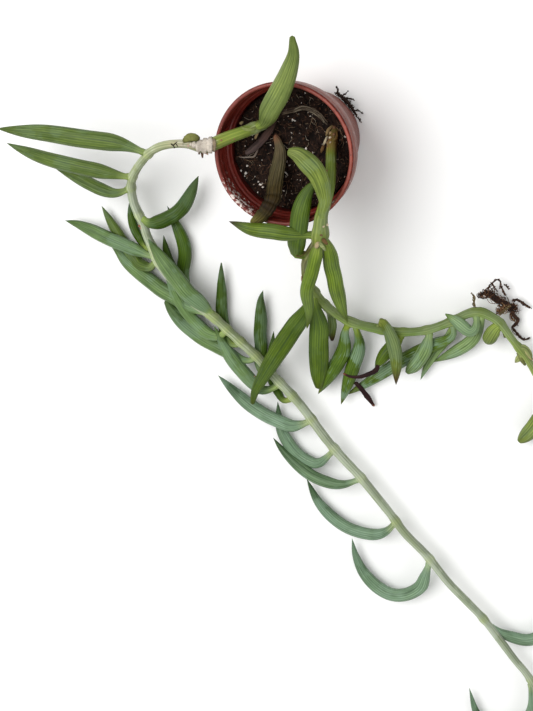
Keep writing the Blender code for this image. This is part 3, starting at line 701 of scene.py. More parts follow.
SHORT_STEM_LEAVES = [
    ("lime", 54, 7.9, 54, 56, [(15, -22.5), (17.5, -17), (17.5, -13.5), (17, -10),
                               (15.5, -5.5), (13, -2), (9.5, 1.5), (5.5, 3)], CLUB),
    ("olive", 69.5, 7.4, 48, 47.5, [(1.5, -39), (2, -36), (3, -33), (4.5, -28.5),
                                    (6, -22), (8, -16.5), (10.5, -12.5), (14, -9)], FULL),
    ("tipped", 56.5, 6.1, 51.5, 48.6, [(5, -30), (-4, -28), (-14, -27), (-23, -24)]),
    ("grass", 58.5, 5.4, 43, 27, [(11, -35.5), (9, -41), (6.5, -47.5), (3.5, -54.5), (1.5, -63),
                                  (-2, -73.5)], BROAD),
    ("grass", 56, 6.4, 37, 21, [(14.5, -34.5), (14.5, -38.5), (13.5, -45), (14, -50),
                                (13.5, -56), (12.5, -66), (13.5, -73)], LONG),
    ("olive", 95, 8.0, 18.2, 14, [(-5, -69.5), (-11, -76.5), (-22, -91),
                                  (-28, -99.5), (-31.5, -105), (-33.5, -111)], BLUNT),
    ("olive", 94, 8.5, 15, 7, [(0.5, -69.5), (-0.5, -77.5), (-2.5, -89.5), (-4.5, -99),
                               (-5.5, -106)], ROUND),
    ("scorched", 104, 3.6, 9, 6, [(3.5, -73), (3.5, -77), (2.5, -81), (2, -85)], ROUND),
    ("pond", 119, 6.5, 8, 5, [(9, -80), (7, -89), (0.5, -99), (-6.5, -109)]),
    ("pond", 121, 6.1, 6.2, 4, [(14, -80), (14, -87), (9.5, -98), (3, -114)]),
    ("pond", 163, 5.7, 3.6, 3.2, [(53, -83), (42, -88.5), (30.5, -94.5), (21, -100.5),
                                  (13, -105.5), (5, -110)], LONG),
    ("scorched", 133, 5.7, 13, 11.5, [(25, -75.5), (28, -79), (30, -84.5), (30.5, -92),
                                      (29.5, -102.5)]),
    ("olive", 142, 5.6, 8.2, 9.4, [(31.5, -82.5), (28.5, -86), (25, -90), (20.5, -96)], LONG),
    ("mint", 152, 6.0, 8, 6, [(44, -82), (42, -88), (38, -94), (33, -99)], ROUND),
    ("mint", 164, 4.1, 3.2, 3, [(51, -84), (45, -91), (41, -97), (38, -103)]),
    ("mint", 173, 5.2, 11, 10, [(64, -75.5), (63.5, -78.5), (61, -79.5), (56.5, -76), (51.5, -72.5)],
     HOOK),
    ("mint", 176, 5.3, 4.5, 3.5, [(65, -78), (61, -85), (54, -90), (44, -95)]),
    ("sage", 185, 5.9, 9, 7, [(71.5, -79), (70, -81), (67, -86)], ROUND),
    ("bud", 199, 2.6, 6.5, 6, [(80, -92), (78, -94.5)]),
    ("bud", 197, 2.4, 8, 8, [(83, -88), (85.5, -92.5)]),
    ("lime", 223, 6.5, 5, 5, [(88, -117), (83, -124), (78, -129)], ROUND),
    ("grass", 233, 5.0, 4, 3.8, [(101, -119), (109, -124), (114, -132)]),
    ("grass", 244, 4.6, 3.6, 3.4, [(97, -137), (96, -146), (100, -152)]),
    ("grass", 249, 3.6, 3.4, 3.2, [(110, -136), (116, -140)]),
    ("grass", 254, 2.8, 3.2, 3.0, [(112, -145), (116, -149)]),
]
print(len(LONG_STEM_LEAVES) + len(SHORT_STEM_LEAVES), "leaves")

# %% Leaf shape
LEAF_SIDES = 36
LEAF_RINGS = 44
NECK_RADIUS = 1.05
NECK_FLARE = 0.4
NECK_FLARE_LENGTH = 0.9
NECK_COLOUR_LENGTH = 5.5
LEAF_FLATNESS = 0.85
LEAF_THICKEST = 5.4
LEAF_RIBS = 9
LEAF_RIB_HEIGHT = 0.012
LEAF_LINE_WIDTH = 0.9
CHANNEL_WIDTH = 0.28
LONG_WAVE = 0.012
SHORT_WAVE = 0.008
DESCENT = 0.4


def blade_share(s, ending):
    """How much of its full width a leaf has at a share of its length, neck aside."""
    _, start, reach, power = ending
    if s < start:
        return 1.0
    return max(0.0, 1.0 - ((s - start) / reach) ** power)


def leaf_height(s, root, rest, tip):
    """Height of a leaf that goes from its root to where it rests, and from there to its tip."""
    if s < DESCENT:
        return root + (rest - root) * smooth_step(s / DESCENT)
    return rest + (tip - rest) * smooth_step((s - DESCENT) / (1 - DESCENT))


def gather(s):
    """Moves rings towards the tip, where a leaf changes most."""
    return 0.5 * s + 0.5 * math.sin(s * math.pi / 2)


def leaf(root, stem_radius, look, width, rest, tip, plan, ending, chance):
    """A leaf from a point in the middle of a stem, over its plan, to its tip."""
    flat = through([(root.x, root.y, 0.0)] + [(x, y, 0.0) for x, y in plan], 1.0)
    length = route_length(flat)
    thickness = min(LEAF_FLATNESS * width, LEAF_THICKEST)
    phase = chance.uniform(0, 2 * math.pi)
    tone = chance.uniform(0.93, 1.07)
    channel = chance.uniform(0.02, 0.07)
    *colours, wax, end_from = LOOKS[look]
    neck, body, end = (flesh(*colour) for colour in colours)

    def ring(share):
        s = gather(share)
        grown = smooth_step(s / ending[0])
        flare = NECK_FLARE * math.exp(-((s * length - stem_radius) / NECK_FLARE_LENGTH) ** 2)
        narrowing = blade_share(s, ending)
        half_width = (NECK_RADIUS + (width / 2 - NECK_RADIUS) * grown) * narrowing + flare
        half_thick = (NECK_RADIUS + (thickness / 2 - NECK_RADIUS) * grown) * narrowing + flare
        wave = 1 + LONG_WAVE * grown * math.sin(11 * s + phase)
        wave += SHORT_WAVE * grown * math.sin(23 * s - phase)
        tint = blend(neck, body, smooth_step((s * length - stem_radius) / NECK_COLOUR_LENGTH))
        tint = blend(tint, end, smooth_step((s - end_from) / (1 - end_from)))
        return half_width * wave, half_thick * wave, (*(tone * part for part in tint[:3]), wax)

    def ripple(share, turn):
        grown = smooth_step(share / ending[0])
        from_top = math.remainder(turn - math.pi / 2, 2 * math.pi)
        groove = channel * math.exp(-(from_top / CHANNEL_WIDTH) ** 2)
        return 1 + grown * (LEAF_RIB_HEIGHT * math.cos(LEAF_RIBS * turn + phase) - groove)

    shares = [gather(k / LEAF_RINGS) for k in range(LEAF_RINGS + 1)]
    route = [Vector((place.x, place.y, leaf_height(s, root.z, rest, tip)))
             for s, place in zip(shares, spaced(flat, shares))]
    lines = math.pi * (width + thickness) / 2 / LEAF_LINE_WIDTH
    return draw_out(route, LEAF_SIDES, ring, ripple, lines=lines, level=True,
                    drift=chance.uniform(0, 100), finish=1)


print("leaves have", LEAF_SIDES, "sides and", LEAF_RINGS, "rings")

# %% The two leafy stems
STEM_STEP = 8.0


def leafy_stem(name, node, route, colours, knot_colour, stem_wax, leaves, seed):
    """A stem with its leaves, whose distances are counted along a route with long steps."""
    chance = random.Random(seed)
    coarse = through(route, STEM_STEP)
    parts = [stem(route, colours, [row[1] for row in leaves], knot_colour, stem_wax)]
    for look, distance, width, rest, tip, plan, *ending in leaves:
        root = at_distance(coarse, distance)
        parts.append(leaf(root.xyz, root[3], look, width, rest, tip, plan,
                          ending[0] if ending else POINTED, chance))
    return finished(name, parts, [stem_skin, leaf_skin], node)


leafy_stem("long_shoot", "long_stem", LONG_STEM, LONG_STEM_COLOURS,
           LONG_KNOT_COLOUR, LONG_STEM_WAX, LONG_STEM_LEAVES, seed=11)
leafy_stem("short_shoot", "short_stem", SHORT_STEM, SHORT_STEM_COLOURS,
           SHORT_KNOT_COLOUR, SHORT_STEM_WAX, SHORT_STEM_LEAVES, seed=12)

# %% [markdown]
# ## The pot
#
# The pot is a thin moulded shell. Its wall is drawn as one outline, from the middle of the floor
# up the inside, over the rounded lip, down the collar and the tapered body, and back to the middle
# of the foot. Spinning that line makes the shell. Small steps in it are the moulding rings that
# show inside a real nursery pot. The drain notches are cut out of the foot last. Lime has dried on
# this pot and its outside is weathered: it is dark red inside, its lip has a painted highlight on
# top and towards one side and painted shade on its outer side, and its outside is a dull brownish
# pink. There are no lines along a pot, so its grain notes something else: how weathered each place
# is.

# %% Pot outline
RIM_RADIUS = 27.5
POT_HEIGHT = 45.0
FOOT_RADIUS = 19.0
LIP_RADIUS = 0.85
COLLAR_HEIGHT = 10.0
COLLAR_TAPER = 0.6
COLLAR_STEP = 1.0
COLLAR_BORE = 25.7
WALL = 1.0
FLOOR = 1.2
FOOT_ROUND = 0.6
LEDGE = POT_HEIGHT - COLLAR_HEIGHT
LIP_MIDDLE = (RIM_RADIUS - LIP_RADIUS, POT_HEIGHT - LIP_RADIUS)
INNER_RING = 33.2
RING_REACH = 0.3


def body_radius(z):
    """Outer radius of the pot's tapered body at a height."""
    top_radius = RIM_RADIUS - COLLAR_TAPER - COLLAR_STEP
    return FOOT_RADIUS + (top_radius - FOOT_RADIUS) * z / LEDGE


def ring_step(radius, z, out):
    """A small rounded moulding ring that stands out of a wall at a height."""
    return [(radius, z - RING_REACH), (radius + 0.7 * out, z - RING_REACH / 2), (radius + out, z),
            (radius + 0.7 * out, z + RING_REACH / 2), (radius, z + RING_REACH)]


def pot_outline():
    """Radius and height along the wall, from the middle of the floor to that of the foot."""
    wall_top = body_radius(LEDGE) - WALL
    inside = [(0, FLOOR), (6, FLOOR), (12, FLOOR), (body_radius(FLOOR) - WALL - FOOT_ROUND, FLOOR),
              (body_radius(1.5) - WALL - 0.15, FLOOR + 0.18), (body_radius(2) - WALL, FLOOR + FOOT_ROUND)]
    inside += [(body_radius(z) - WALL, z) for z in (8, 14, 20, 26, 30, 31.5)]
    inside += ring_step(body_radius(INNER_RING) - WALL, INNER_RING, -0.35)
    inside += [(wall_top, LEDGE - 0.35), (wall_top + 0.05, LEDGE - 0.1), (wall_top + 0.25, LEDGE + 0.05),
               (COLLAR_BORE - 0.3, LEDGE + 0.25), (COLLAR_BORE - 0.08, LEDGE + 0.4),
               (COLLAR_BORE, LEDGE + 0.7)]
    inside += ring_step(COLLAR_BORE + 0.02, LEDGE + 2.2, -0.18)
    inside += [(COLLAR_BORE + 0.05, LEDGE + 4.5)]
    inside += ring_step(COLLAR_BORE + 0.08, LEDGE + 6.8, -0.12)
    turns = [math.radians(18 * k) for k in range(11)]
    lip = [(LIP_MIDDLE[0] - LIP_RADIUS * math.cos(a), LIP_MIDDLE[1] + LIP_RADIUS * math.sin(a))
           for a in turns]
    collar_foot = RIM_RADIUS - COLLAR_TAPER
    outside = [(RIM_RADIUS - 0.1, LIP_MIDDLE[1] - 0.6), (RIM_RADIUS - 0.35, LIP_MIDDLE[1] - 1.0),
               (collar_foot + 0.15, LEDGE + 5), (collar_foot, LEDGE + 0.3),
               (collar_foot - 0.08, LEDGE), (collar_foot - 0.3, LEDGE - 0.1)]
    outside += [(body_radius(z), z) for z in (34.8, 34.4, 28, 22, 16, 10, 5, 1.4, FOOT_ROUND)]
    outside += [(FOOT_RADIUS - 0.15, 0.15), (FOOT_RADIUS - 0.5, 0), (12, 0), (6, 0), (0, 0)]
    return inside + lip + outside


print("the pot's outline has", len(pot_outline()), "points")

# %% Pot colours
# Where lime has dried on the rim: direction and spread in degrees, and how much of it
LIME_PATCHES = [(222, 30, 0.85), (-42, 20, 0.6), (165, 20, 0.15), (120, 25, 0.2)]
LIME_DEPTH = 7.0
POT_INSIDE = (78, 24, 17)
POT_COLLAR = (124, 38, 28)
# The lip is painted lighter on top and towards the right side as a highlight, and darker on its outer side
# as shade.
POT_LIP = (122, 48, 38)
LIP_HIGHLIGHT = (156, 80, 66)
SHADED_LIP_SIDE = (98, 33, 25)
POT_OUTSIDE = (120, 66, 55)
LIP_TOP = 0.35
LIP_HIGHLIGHT_SPREAD = 0.6
INSIDE_WEAR = 0.25


def pot_tint(x, y, z):
    """Colour of the pot's plastic at a place, with painted highlight and shade on the lip, and how much
    lime lies there.
    """
    radius = math.hypot(x, y)
    middle = (RIM_RADIUS + COLLAR_BORE) / 2 if z > LEDGE else body_radius(z) - WALL / 2
    # painted highlight on the lip's top, stronger towards the right; painted shade on its outer side
    if z > LIP_MIDDLE[1] - 0.4:
        up = smooth_step((z - LIP_MIDDLE[1] - LIP_TOP * LIP_RADIUS) / (LIP_RADIUS * (1 - LIP_TOP)))
        top = blend(POT_LIP, LIP_HIGHLIGHT, smooth_step(0.5 + LIP_HIGHLIGHT_SPREAD * x / RIM_RADIUS))
        colour = blend(SHADED_LIP_SIDE, top, up)
    elif radius > middle or z < FLOOR / 2:
        colour = POT_OUTSIDE
    else:
        colour = POT_COLLAR if z > INNER_RING - 1 else POT_INSIDE
    lime = 0.0
    if z > LEDGE:
        for direction, spread, amount in LIME_PATCHES:
            away = math.remainder(math.degrees(math.atan2(y, x)) - direction, 360)
            lime += amount * math.exp(-(away / spread) ** 2) * smooth_step((z - LEDGE + 1) / LIME_DEPTH)
    return (*paint(*colour)[:3], min(lime, 1.0))


print("lime has dried in", len(LIME_PATCHES), "patches along the rim")

# %% Pot shell
POT_STEPS = 180


def pot_shell():
    """The pot's outline, spun round its axis."""
    bm = new_skin()
    tint = bm.verts.layers.float_color["tint"]
    weathered = bm.verts.layers.float_vector["grain"]
    row = [bm.verts.new((x, 0, z)) for x, z in pot_outline()]
    for start, end in zip(row, row[1:]):
        bm.edges.new((start, end))
    bmesh.ops.spin(bm, geom=bm.verts[:] + bm.edges[:], cent=(0, 0, 0), axis=(0, 0, 1), dvec=(0, 0, 0),
                   angle=2 * math.pi, steps=POT_STEPS, use_merge=True)
    bmesh.ops.remove_doubles(bm, verts=bm.verts, dist=0.001)
    bmesh.ops.recalc_face_normals(bm, faces=bm.faces)
    for vert in bm.verts:
        vert[tint] = pot_tint(*vert.co)
        radius = math.hypot(vert.co.x, vert.co.y)
        outside = radius > (RIM_RADIUS - 0.5 if vert.co.z > LEDGE else body_radius(vert.co.z) - WALL / 2)
        vert[weathered] = (1.0 if outside else INSIDE_WEAR, 0.0, 0.0)
    return bm


print("the shell is spun in", POT_STEPS, "steps")

# %% Drain notches
NOTCHES = 6
NOTCH_WIDTH = 5.0
NOTCH_HEIGHT = 3.5
NOTCH_DEPTH = 3.5
FIRST_NOTCH = 40.0


def cut_notches(bm):
    """Cuts the drain notches out of the foot with boxes, and hands back the cut mesh."""
    shell = bpy.data.objects.new("shell", bpy.data.meshes.new("shell"))
    bm.to_mesh(shell.data)
    bm.free()
    bpy.context.scene.collection.objects.link(shell)
    boxes = bmesh.new()
    for k in range(NOTCHES):
        angle = math.radians(FIRST_NOTCH + 360 * k / NOTCHES)
        middle = FOOT_RADIUS + 1 - NOTCH_DEPTH / 2
        box = bmesh.ops.create_cube(boxes, size=1.0)["verts"]
        bmesh.ops.scale(boxes, vec=(NOTCH_DEPTH + 2, NOTCH_WIDTH, 2 * NOTCH_HEIGHT), verts=box)
        bmesh.ops.translate(boxes, vec=(middle, 0, 0), verts=box)
        bmesh.ops.rotate(boxes, cent=(0, 0, 0), matrix=Matrix.Rotation(angle, 3, "Z"), verts=box)
    cutter = bpy.data.objects.new("cutter", bpy.data.meshes.new("cutter"))
    boxes.to_mesh(cutter.data)
    boxes.free()
    bpy.context.scene.collection.objects.link(cutter)
    cut = shell.modifiers.new("notches", "BOOLEAN")
    cut.operation = "DIFFERENCE"
    cut.object = cutter
    evaluated = shell.evaluated_get(bpy.context.evaluated_depsgraph_get())
    mesh = bpy.data.meshes.new_from_object(evaluated)
    bpy.data.objects.remove(shell)
    bpy.data.objects.remove(cutter)
    return mesh


print("the foot gets", NOTCHES, "drain notches of", NOTCH_WIDTH, "mm")

# %% Worn plastic
STAIN = (66, 24, 18)
DARK_BANDS = (0.52, 0.4, 0.38, 1.0)
HAZE = (176, 120, 107)
DIRT = (50, 32, 26)
LIME_SPECK = (222, 206, 196)
LIME = (228, 216, 208)
LIME_SPREAD = 0.24
LIME_THICKNESS = 0.2 * MM
LYING_BANDS = (1.0, 1.0, 3.0)


def worn_plastic():
    """Plastic with bands and haze where it is weathered, then dirt, specks and a crust of lime."""
    made, tree, shader = new_material("worn_terracotta_plastic")
    tint = attribute(tree, "tint")
    place = object_place(tree)
    wear = add_node(tree, "SeparateXYZ", {"Vector": attribute(tree, "grain")["Vector"]}).outputs["X"]
    colour = spotted(tree, tint["Color"], paint(*STAIN), place, scale=160, low=0.4, high=0.7,
                     most=0.3, detail=4)
    flat = add_node(tree, "VectorMath", {0: place, 1: LYING_BANDS}, operation="MULTIPLY")
    bands = noise_at(tree, flat.outputs["Vector"], scale=120, detail=5, roughness=0.7)
    banded = times(tree, mask(tree, bands, low=0.44, high=0.55, top=0.8), wear)
    colour = mix(tree, banded, colour, DARK_BANDS, "MULTIPLY")
    haze = noise_at(tree, flat.outputs["Vector"], scale=420, detail=5, roughness=0.7)
    hazy = times(tree, mask(tree, haze, low=0.52, high=0.66, top=0.4), wear)
    colour = mix(tree, hazy, colour, paint(*HAZE))
    colour = spotted(tree, colour, paint(*DIRT), place, scale=620, low=0.62, high=0.68, most=0.8,
                     detail=4, roughness=0.6)
    colour = spotted(tree, colour, paint(*LIME_SPECK), place, scale=1500, low=0.73, high=0.75,
                     most=0.85)
    crust = noise_at(tree, place, scale=560, detail=5, roughness=0.74)
    limed = plus(tree, crust, times(tree, tint["Alpha"], LIME_SPREAD))
    colour = mix(tree, mask(tree, limed, low=0.70, high=0.73, top=0.95), colour, paint(*LIME))
    tree.links.new(colour, shader.inputs["Base Color"])
    rough = scaled(tree, haze, low=0.35, high=0.7, at_low=0.3, at_high=0.6)
    tree.links.new(rough, shader.inputs["Roughness"])
    gloss = scaled(tree, wear, low=INSIDE_WEAR, high=1.0, at_low=0.4, at_high=0.06)
    tree.links.new(gloss, shader.inputs["Specular IOR Level"])
    bump(tree, shader, limed, distance=LIME_THICKNESS, strength=0.5)
    return made


terracotta = worn_plastic()
finished("pot_shell", [cut_notches(pot_shell())], [terracotta], "pot")

# %% [markdown]
# ## Peat
#
# Peat is a springy mass of crumbs and fibres. One dense ball, pressed into the pot, is its bed:
# its top follows the uneven level of the CAD soil and gets lumps from a cellular noise, whose
# rounded cells look like crumbs. Loose crumbs, fibres and white perlite lie on it. Each loose bit
# has only a few faces, because there are hundreds of them.

# %% The bed
SOIL_LEVEL = 32.0
SOIL_CLEARANCE = 0.55
BED_SPOKES = 260
BED_RINGS = 150
BED_SINK = 0.35
BED_TOP = 0.86
BED_SIDE = 0.97
SIDE_LUMPS = 0.3
LUMP_SIZE = 1.5
LUMP_REACH = 0.75
LUMP_SHARE = 0.9
FINE_LUMP_SIZE = 0.55
FINE_LUMP_REACH = 0.6
FINE_LUMP_SHARE = 0.35
LUMP_HEIGHT = 1.1
# Painted light and shade on the bed: the peat is painted lighter on the tops of its lumps and darker in
# the hollows.
PEAT_IN_PAINTED_SHADE = (14, 9, 7)
PEAT_IN_PAINTED_LIGHT = (60, 40, 29)


def soil_height(x, y):
    """Height of the uneven soil at a place in the pot."""
    return (SOIL_LEVEL + 0.7 * math.sin(0.31 * x + 1.3) * math.cos(0.27 * y - 0.4)
            + 0.4 * math.sin(0.83 * x - 0.5 * y) + 0.35 * math.sin(0.47 * x + 0.92 * y + 2.0))


def lumps(x, y):
    """Height of the crumbs above the soil's level, from about 0 to 1."""
    near = noise.voronoi(Vector((x / LUMP_SIZE, y / LUMP_SIZE, 0.0)))[0]
    fine = noise.voronoi(Vector((x / FINE_LUMP_SIZE, y / FINE_LUMP_SIZE, 4.0)))[0]
    coarse = max(0.0, LUMP_REACH - near[0]) * LUMP_SHARE
    return coarse + max(0.0, FINE_LUMP_REACH - fine[0]) * FINE_LUMP_SHARE


def bed_height(x, y):
    return soil_height(x, y) - BED_SINK + LUMP_HEIGHT * lumps(x, y)


def soil_bed():
    """A ball in the pot: most of its rings make the lumpy top, and the last ones side and foot."""
    bm = new_skin()
    tint = bm.verts.layers.float_color["tint"]
    bmesh.ops.create_uvsphere(bm, u_segments=BED_SPOKES, v_segments=BED_RINGS, radius=1.0)
    top = SOIL_LEVEL - 1
    bottom = FLOOR + SOIL_CLEARANCE
    edge = body_radius(top) - WALL - SOIL_CLEARANCE
    for vert in bm.verts:
        down = math.acos(max(-1.0, min(1.0, vert.co.z))) / math.pi
        around = math.atan2(vert.co.y, vert.co.x)
        if down <= BED_TOP:
            radius = edge * down / BED_TOP
            x, y = radius * math.cos(around), radius * math.sin(around)
            high = lumps(x, y)
            vert.co = (x, y, bed_height(x, y))
        else:
            high = SIDE_LUMPS
            z = max(top + (bottom - top) * (down - BED_TOP) / (BED_SIDE - BED_TOP), bottom)
            shrink = 1 - smooth_step((down - BED_SIDE) / (1 - BED_SIDE))
            radius = (body_radius(z) - WALL - SOIL_CLEARANCE) * shrink
            vert.co = (radius * math.cos(around), radius * math.sin(around), z)
        # the higher a lump stands, the lighter its tint: painted light on the tops, painted shade in the
        # hollows
        vert[tint] = (*blend(paint(*PEAT_IN_PAINTED_SHADE), paint(*PEAT_IN_PAINTED_LIGHT), min(high, 1.0))[:3], 0.0)
    return set_aside(bm)


print("in the middle of the pot the bed is", round(bed_height(0, 0), 1), "mm up")

# %% Crumbly material
GRIT = (12, 9, 8)
DAMP = (44, 30, 23)
GRIT_DEPTH = 0.3 * MM


def crumbly(name, roughness=0.95, contrast=0.5):
    """A dull material that takes its colour from the tint and breaks it up."""
    made, tree, shader = new_material(name)
    place = object_place(tree)
    grit = noise_at(tree, place, scale=1400, detail=4, roughness=0.7)
    dark = mask(tree, grit, low=0.52, high=0.34, top=contrast)
    colour = mix(tree, dark, attribute(tree, "tint")["Color"], paint(*GRIT))
    colour = spotted(tree, colour, paint(*DAMP), place, scale=250, low=0.45, high=0.65, most=0.3)
    tree.links.new(colour, shader.inputs["Base Color"])
    shader.inputs["Roughness"].default_value = roughness
    shader.inputs["Specular IOR Level"].default_value = 0.2
    bump(tree, shader, grit, distance=GRIT_DEPTH, strength=0.7)
    return made


peat = crumbly("damp_peat")
finished("peat_bed", [soil_bed()], [peat], "soil")

# %% Loose bits
A_TURN = 6.28
BED_REACH = 23.2
THREAD_TAPER = 0.6


def bit(place, size, colour, chance, divisions=1, uneven=0.3):
    """A small crumb: a ball of a few faces with its corners pushed about."""
    bm = new_skin()
    tint = bm.verts.layers.float_color["tint"]
    bmesh.ops.create_icosphere(bm, subdivisions=divisions, radius=1.0)
    for vert in bm.verts:
        vert.co *= 1 + chance.uniform(-uneven, uneven)
        vert[tint] = (*paint(*colour)[:3], 0.0)
    turn = Matrix.Rotation(chance.uniform(0, A_TURN), 3, Vector((chance.random(), chance.random(), 1)))
    bmesh.ops.scale(bm, vec=size, verts=bm.verts)
    bmesh.ops.rotate(bm, cent=(0, 0, 0), matrix=turn, verts=bm.verts)
    bmesh.ops.translate(bm, vec=place, verts=bm.verts)
    return set_aside(bm)


def thread(points, radius, colour, sides=5, step=0.8, end_colour=None):
    """A thin fibre or root through a few points, thinner towards its end."""
    fine = through(points, 0.6)
    count = max(4, round(route_length(fine) / step))
    first = paint(*colour)
    last = paint(*(end_colour or colour))

    def ring(share):
        half = radius * (1 - THREAD_TAPER * share ** 2)
        return half, half, (*blend(first, last, share)[:3], 0.0)

    return draw_out(evenly(fine, count), sides, ring, lines=3)


def on_bed(x, y, above=0.0):
    """A place on the bed, or a little above it."""
    return Vector((x, y, bed_height(x, y) + above))


def in_pot(chance, reach=BED_REACH):
    """A random place in the pot. Such places are spread evenly over the bed."""
    radius = reach * math.sqrt(chance.random())
    angle = chance.uniform(0, 2 * math.pi)
    return radius * math.cos(angle), radius * math.sin(angle)


print("bits, threads and places for them are ready")

# %% Crumbs
CRUMBS = 1500
CRUMB_COLOURS = [(26, 17, 13), (36, 23, 17), (56, 34, 24), (18, 12, 9), (76, 52, 38)]
chance = random.Random(21)
parts = []
for _ in range(CRUMBS):
    x, y = in_pot(chance)
    size = 0.18 + 0.5 * chance.random() ** 3
    parts.append(bit(on_bed(x, y, size * 0.3), (size, size * chance.uniform(0.6, 1), size * 0.7),
                     chance.choice(CRUMB_COLOURS), chance))
finished("peat_crumbs", parts, [peat])

# %% Perlite
# Perlite bits that show in the pot: place, half-size and how pale
PERLITE = [
    (1.5, 11.5, 0.45, 1.0), (2, 11, 0.3, 1.0), (1, 11, 0.25, 0.9), (8.5, 12.5, 0.3, 0.8),
    (5.5, 0, 0.6, 0.95), (5, -0.5, 0.3, 0.9), (8, -1.5, 0.3, 0.8), (-20, -8.5, 0.6, 1.0),
    (-22, -7.5, 0.45, 0.95), (-19, -5.5, 0.5, 0.9), (-13, -3.5, 0.25, 0.9),
    (-18.5, 2.5, 0.28, 0.8), (-9, 2, 0.3, 0.9), (-14, -13, 0.5, 0.9),
    (-13, -14, 0.4, 0.85), (-15, -12, 0.35, 0.9), (-13, -12.5, 0.3, 0.8),
    (-15.5, -16, 0.35, 0.95), (-2.5, -4.5, 0.35, 0.7), (-3.5, -9, 0.45, 0.95),
    (-3, -9.5, 0.25, 0.9), (-1.5, -6, 0.28, 0.9), (-5, -16, 0.45, 1.0),
    (0.5, 6.5, 0.25, 0.8), (5, 5.5, 0.28, 0.85), (21.5, 4, 0.4, 0.9), (-20.5, -9.5, 0.3, 0.9),
    (-16.5, -10, 0.3, 0.8), (6.5, 8, 0.25, 0.8), (11, 6, 0.25, 0.75),
]
SMALL_PERLITE = 170
CREAM = (236, 230, 220)
EARTH = (120, 96, 76)
chalk = crumbly("white_perlite", roughness=0.85, contrast=0.2)
parts = []
for x, y, size, pale in PERLITE:
    shade = blend(EARTH, CREAM, pale)
    parts.append(bit(on_bed(x, y, size * 0.5), (size * chance.uniform(1, 1.6), size * 0.85, size * 0.7),
                     shade, chance, divisions=2, uneven=0.26))
for _ in range(SMALL_PERLITE):
    x, y = in_pot(chance)
    size = 0.07 + 0.18 * chance.random() ** 2
    shade = blend(EARTH, CREAM, chance.uniform(0.3, 1.0))
    parts.append(bit(on_bed(x, y, size * 0.6), (size * chance.uniform(1, 2.6), size, size * 0.8),
                     shade, chance))
finished("perlite", parts, [chalk])

# %% Fibres
FIBRES = 260
PALE_FIBRES = 70
FIBRE_COLOURS = [(84, 58, 42), (64, 44, 33), (104, 76, 56), (120, 92, 70)]
PALE_COLOURS = [(176, 160, 136), (196, 184, 164), (150, 130, 104)]
FIBRE_REACH = 22.0
FIBRE_LIMIT = 23.4
# Longer fibres that show: their points on the bed
LONG_FIBRES = [
    [(-18.5, 13.5), (-17, 12.5), (-15.5, 12.5), (-14, 13.5)],
    [(-19.5, 11), (-21, 8), (-21.5, 4), (-22, -0.5)],
    [(-18.5, -2), (-16.5, -1), (-14.5, -0.5)], [(-19.5, -3), (-17, -4), (-16, -6.5)],
    [(20.5, 4.5), (21, 2), (20.5, 0.5), (19.5, -1)], [(19.5, 7.5), (20.5, 5), (22, 3.5)],
    [(9.5, 12.5), (9, 10.5), (8, 8.5), (8.5, 7)], [(9, 12.5), (10.5, 10.5), (9.5, 9)],
    [(-3, 2.5), (-1, 0.5), (1.5, 1.5), (3, 0)], [(12, -4), (10.5, -6.5), (11, -9)],
]


def lying_fibre(chance, length, radius, colours):
    """A bent fibre of four points, of which every second one is lifted a little off the bed."""
    x, y = in_pot(chance, FIBRE_REACH)
    heading = chance.uniform(0, 2 * math.pi)
    points = []
    for k in range(4):
        points.append(on_bed(x, y, 0.15 + (0.5 * chance.random() if k % 2 else 0.0)))
        heading += chance.uniform(-0.8, 0.8)
        x += length / 3 * math.cos(heading)
        y += length / 3 * math.sin(heading)
        if math.hypot(x, y) > FIBRE_LIMIT:
            x, y = 0.9 * x, 0.9 * y
    return thread(points, radius, chance.choice(colours))


fibre_material = crumbly("dry_fibres", roughness=0.8, contrast=0.3)
parts = [lying_fibre(chance, chance.uniform(1.5, 4.5), chance.uniform(0.06, 0.13), FIBRE_COLOURS)
         for _ in range(FIBRES)]
parts += [lying_fibre(chance, chance.uniform(1.0, 3.6), chance.uniform(0.05, 0.09), PALE_COLOURS)
          for _ in range(PALE_FIBRES)]
for plan in LONG_FIBRES:
    points = [on_bed(x, y, 0.35 + 0.4 * chance.random()) for x, y in plan]
    parts.append(thread(points, 0.1, chance.choice(PALE_COLOURS), end_colour=(110, 90, 70)))
finished("peat_fibres", parts, [fibre_material])

# %% [markdown]
# ## Dried leaves
#
# Old leaves shrink, darken and wrinkle. They are the same drawn-out balls as the fresh ones, but
# flat, with deep ribs along them and creases across, and their colours change along the way. The
# places are those of the CAD nodes that they stand for.

# %% Withered leaf
ROUNDED_START = 0.03
ROUNDED_END = 0.04
SWELLS = 0.08
WRINKLES = 0.1
CREASE_WIDTH = 0.012
CREASE_NARROWING = 0.3
# Painted shade in the creases: the tint is darkened where the leaf is pinched.
CREASE_SHADE = 0.35
# Points x, y, height and half-width, and colours at shares of the length
WITHERED_LEAF = [
    (-6, 6.5, 34, 0.8), (-4.5, 3.5, 35, 1.5), (-4, 0, 35, 2.1), (-4.5, -4, 36, 2.5),
    (-5.5, -8, 37, 2.8), (-6, -12, 39, 3.0), (-6, -16.5, 43, 3.1), (-8, -20.5, 46, 2.7),
    (-11, -23.5, 46.5, 2.2), (-14, -25.5, 45.5, 1.5), (-15.5, -27, 44.5, 0.9),
]
WITHERED_COLOURS = [
    (0.0, (144, 100, 80)), (0.05, (116, 88, 68)), (0.1, (96, 86, 67)), (0.3, (86, 80, 59)),
    (0.5, (78, 70, 50)), (0.62, (66, 57, 41)), (0.74, (58, 49, 36)), (0.82, (76, 69, 44)),
    (0.9, (110, 104, 60)), (1.0, (124, 118, 68)),
]


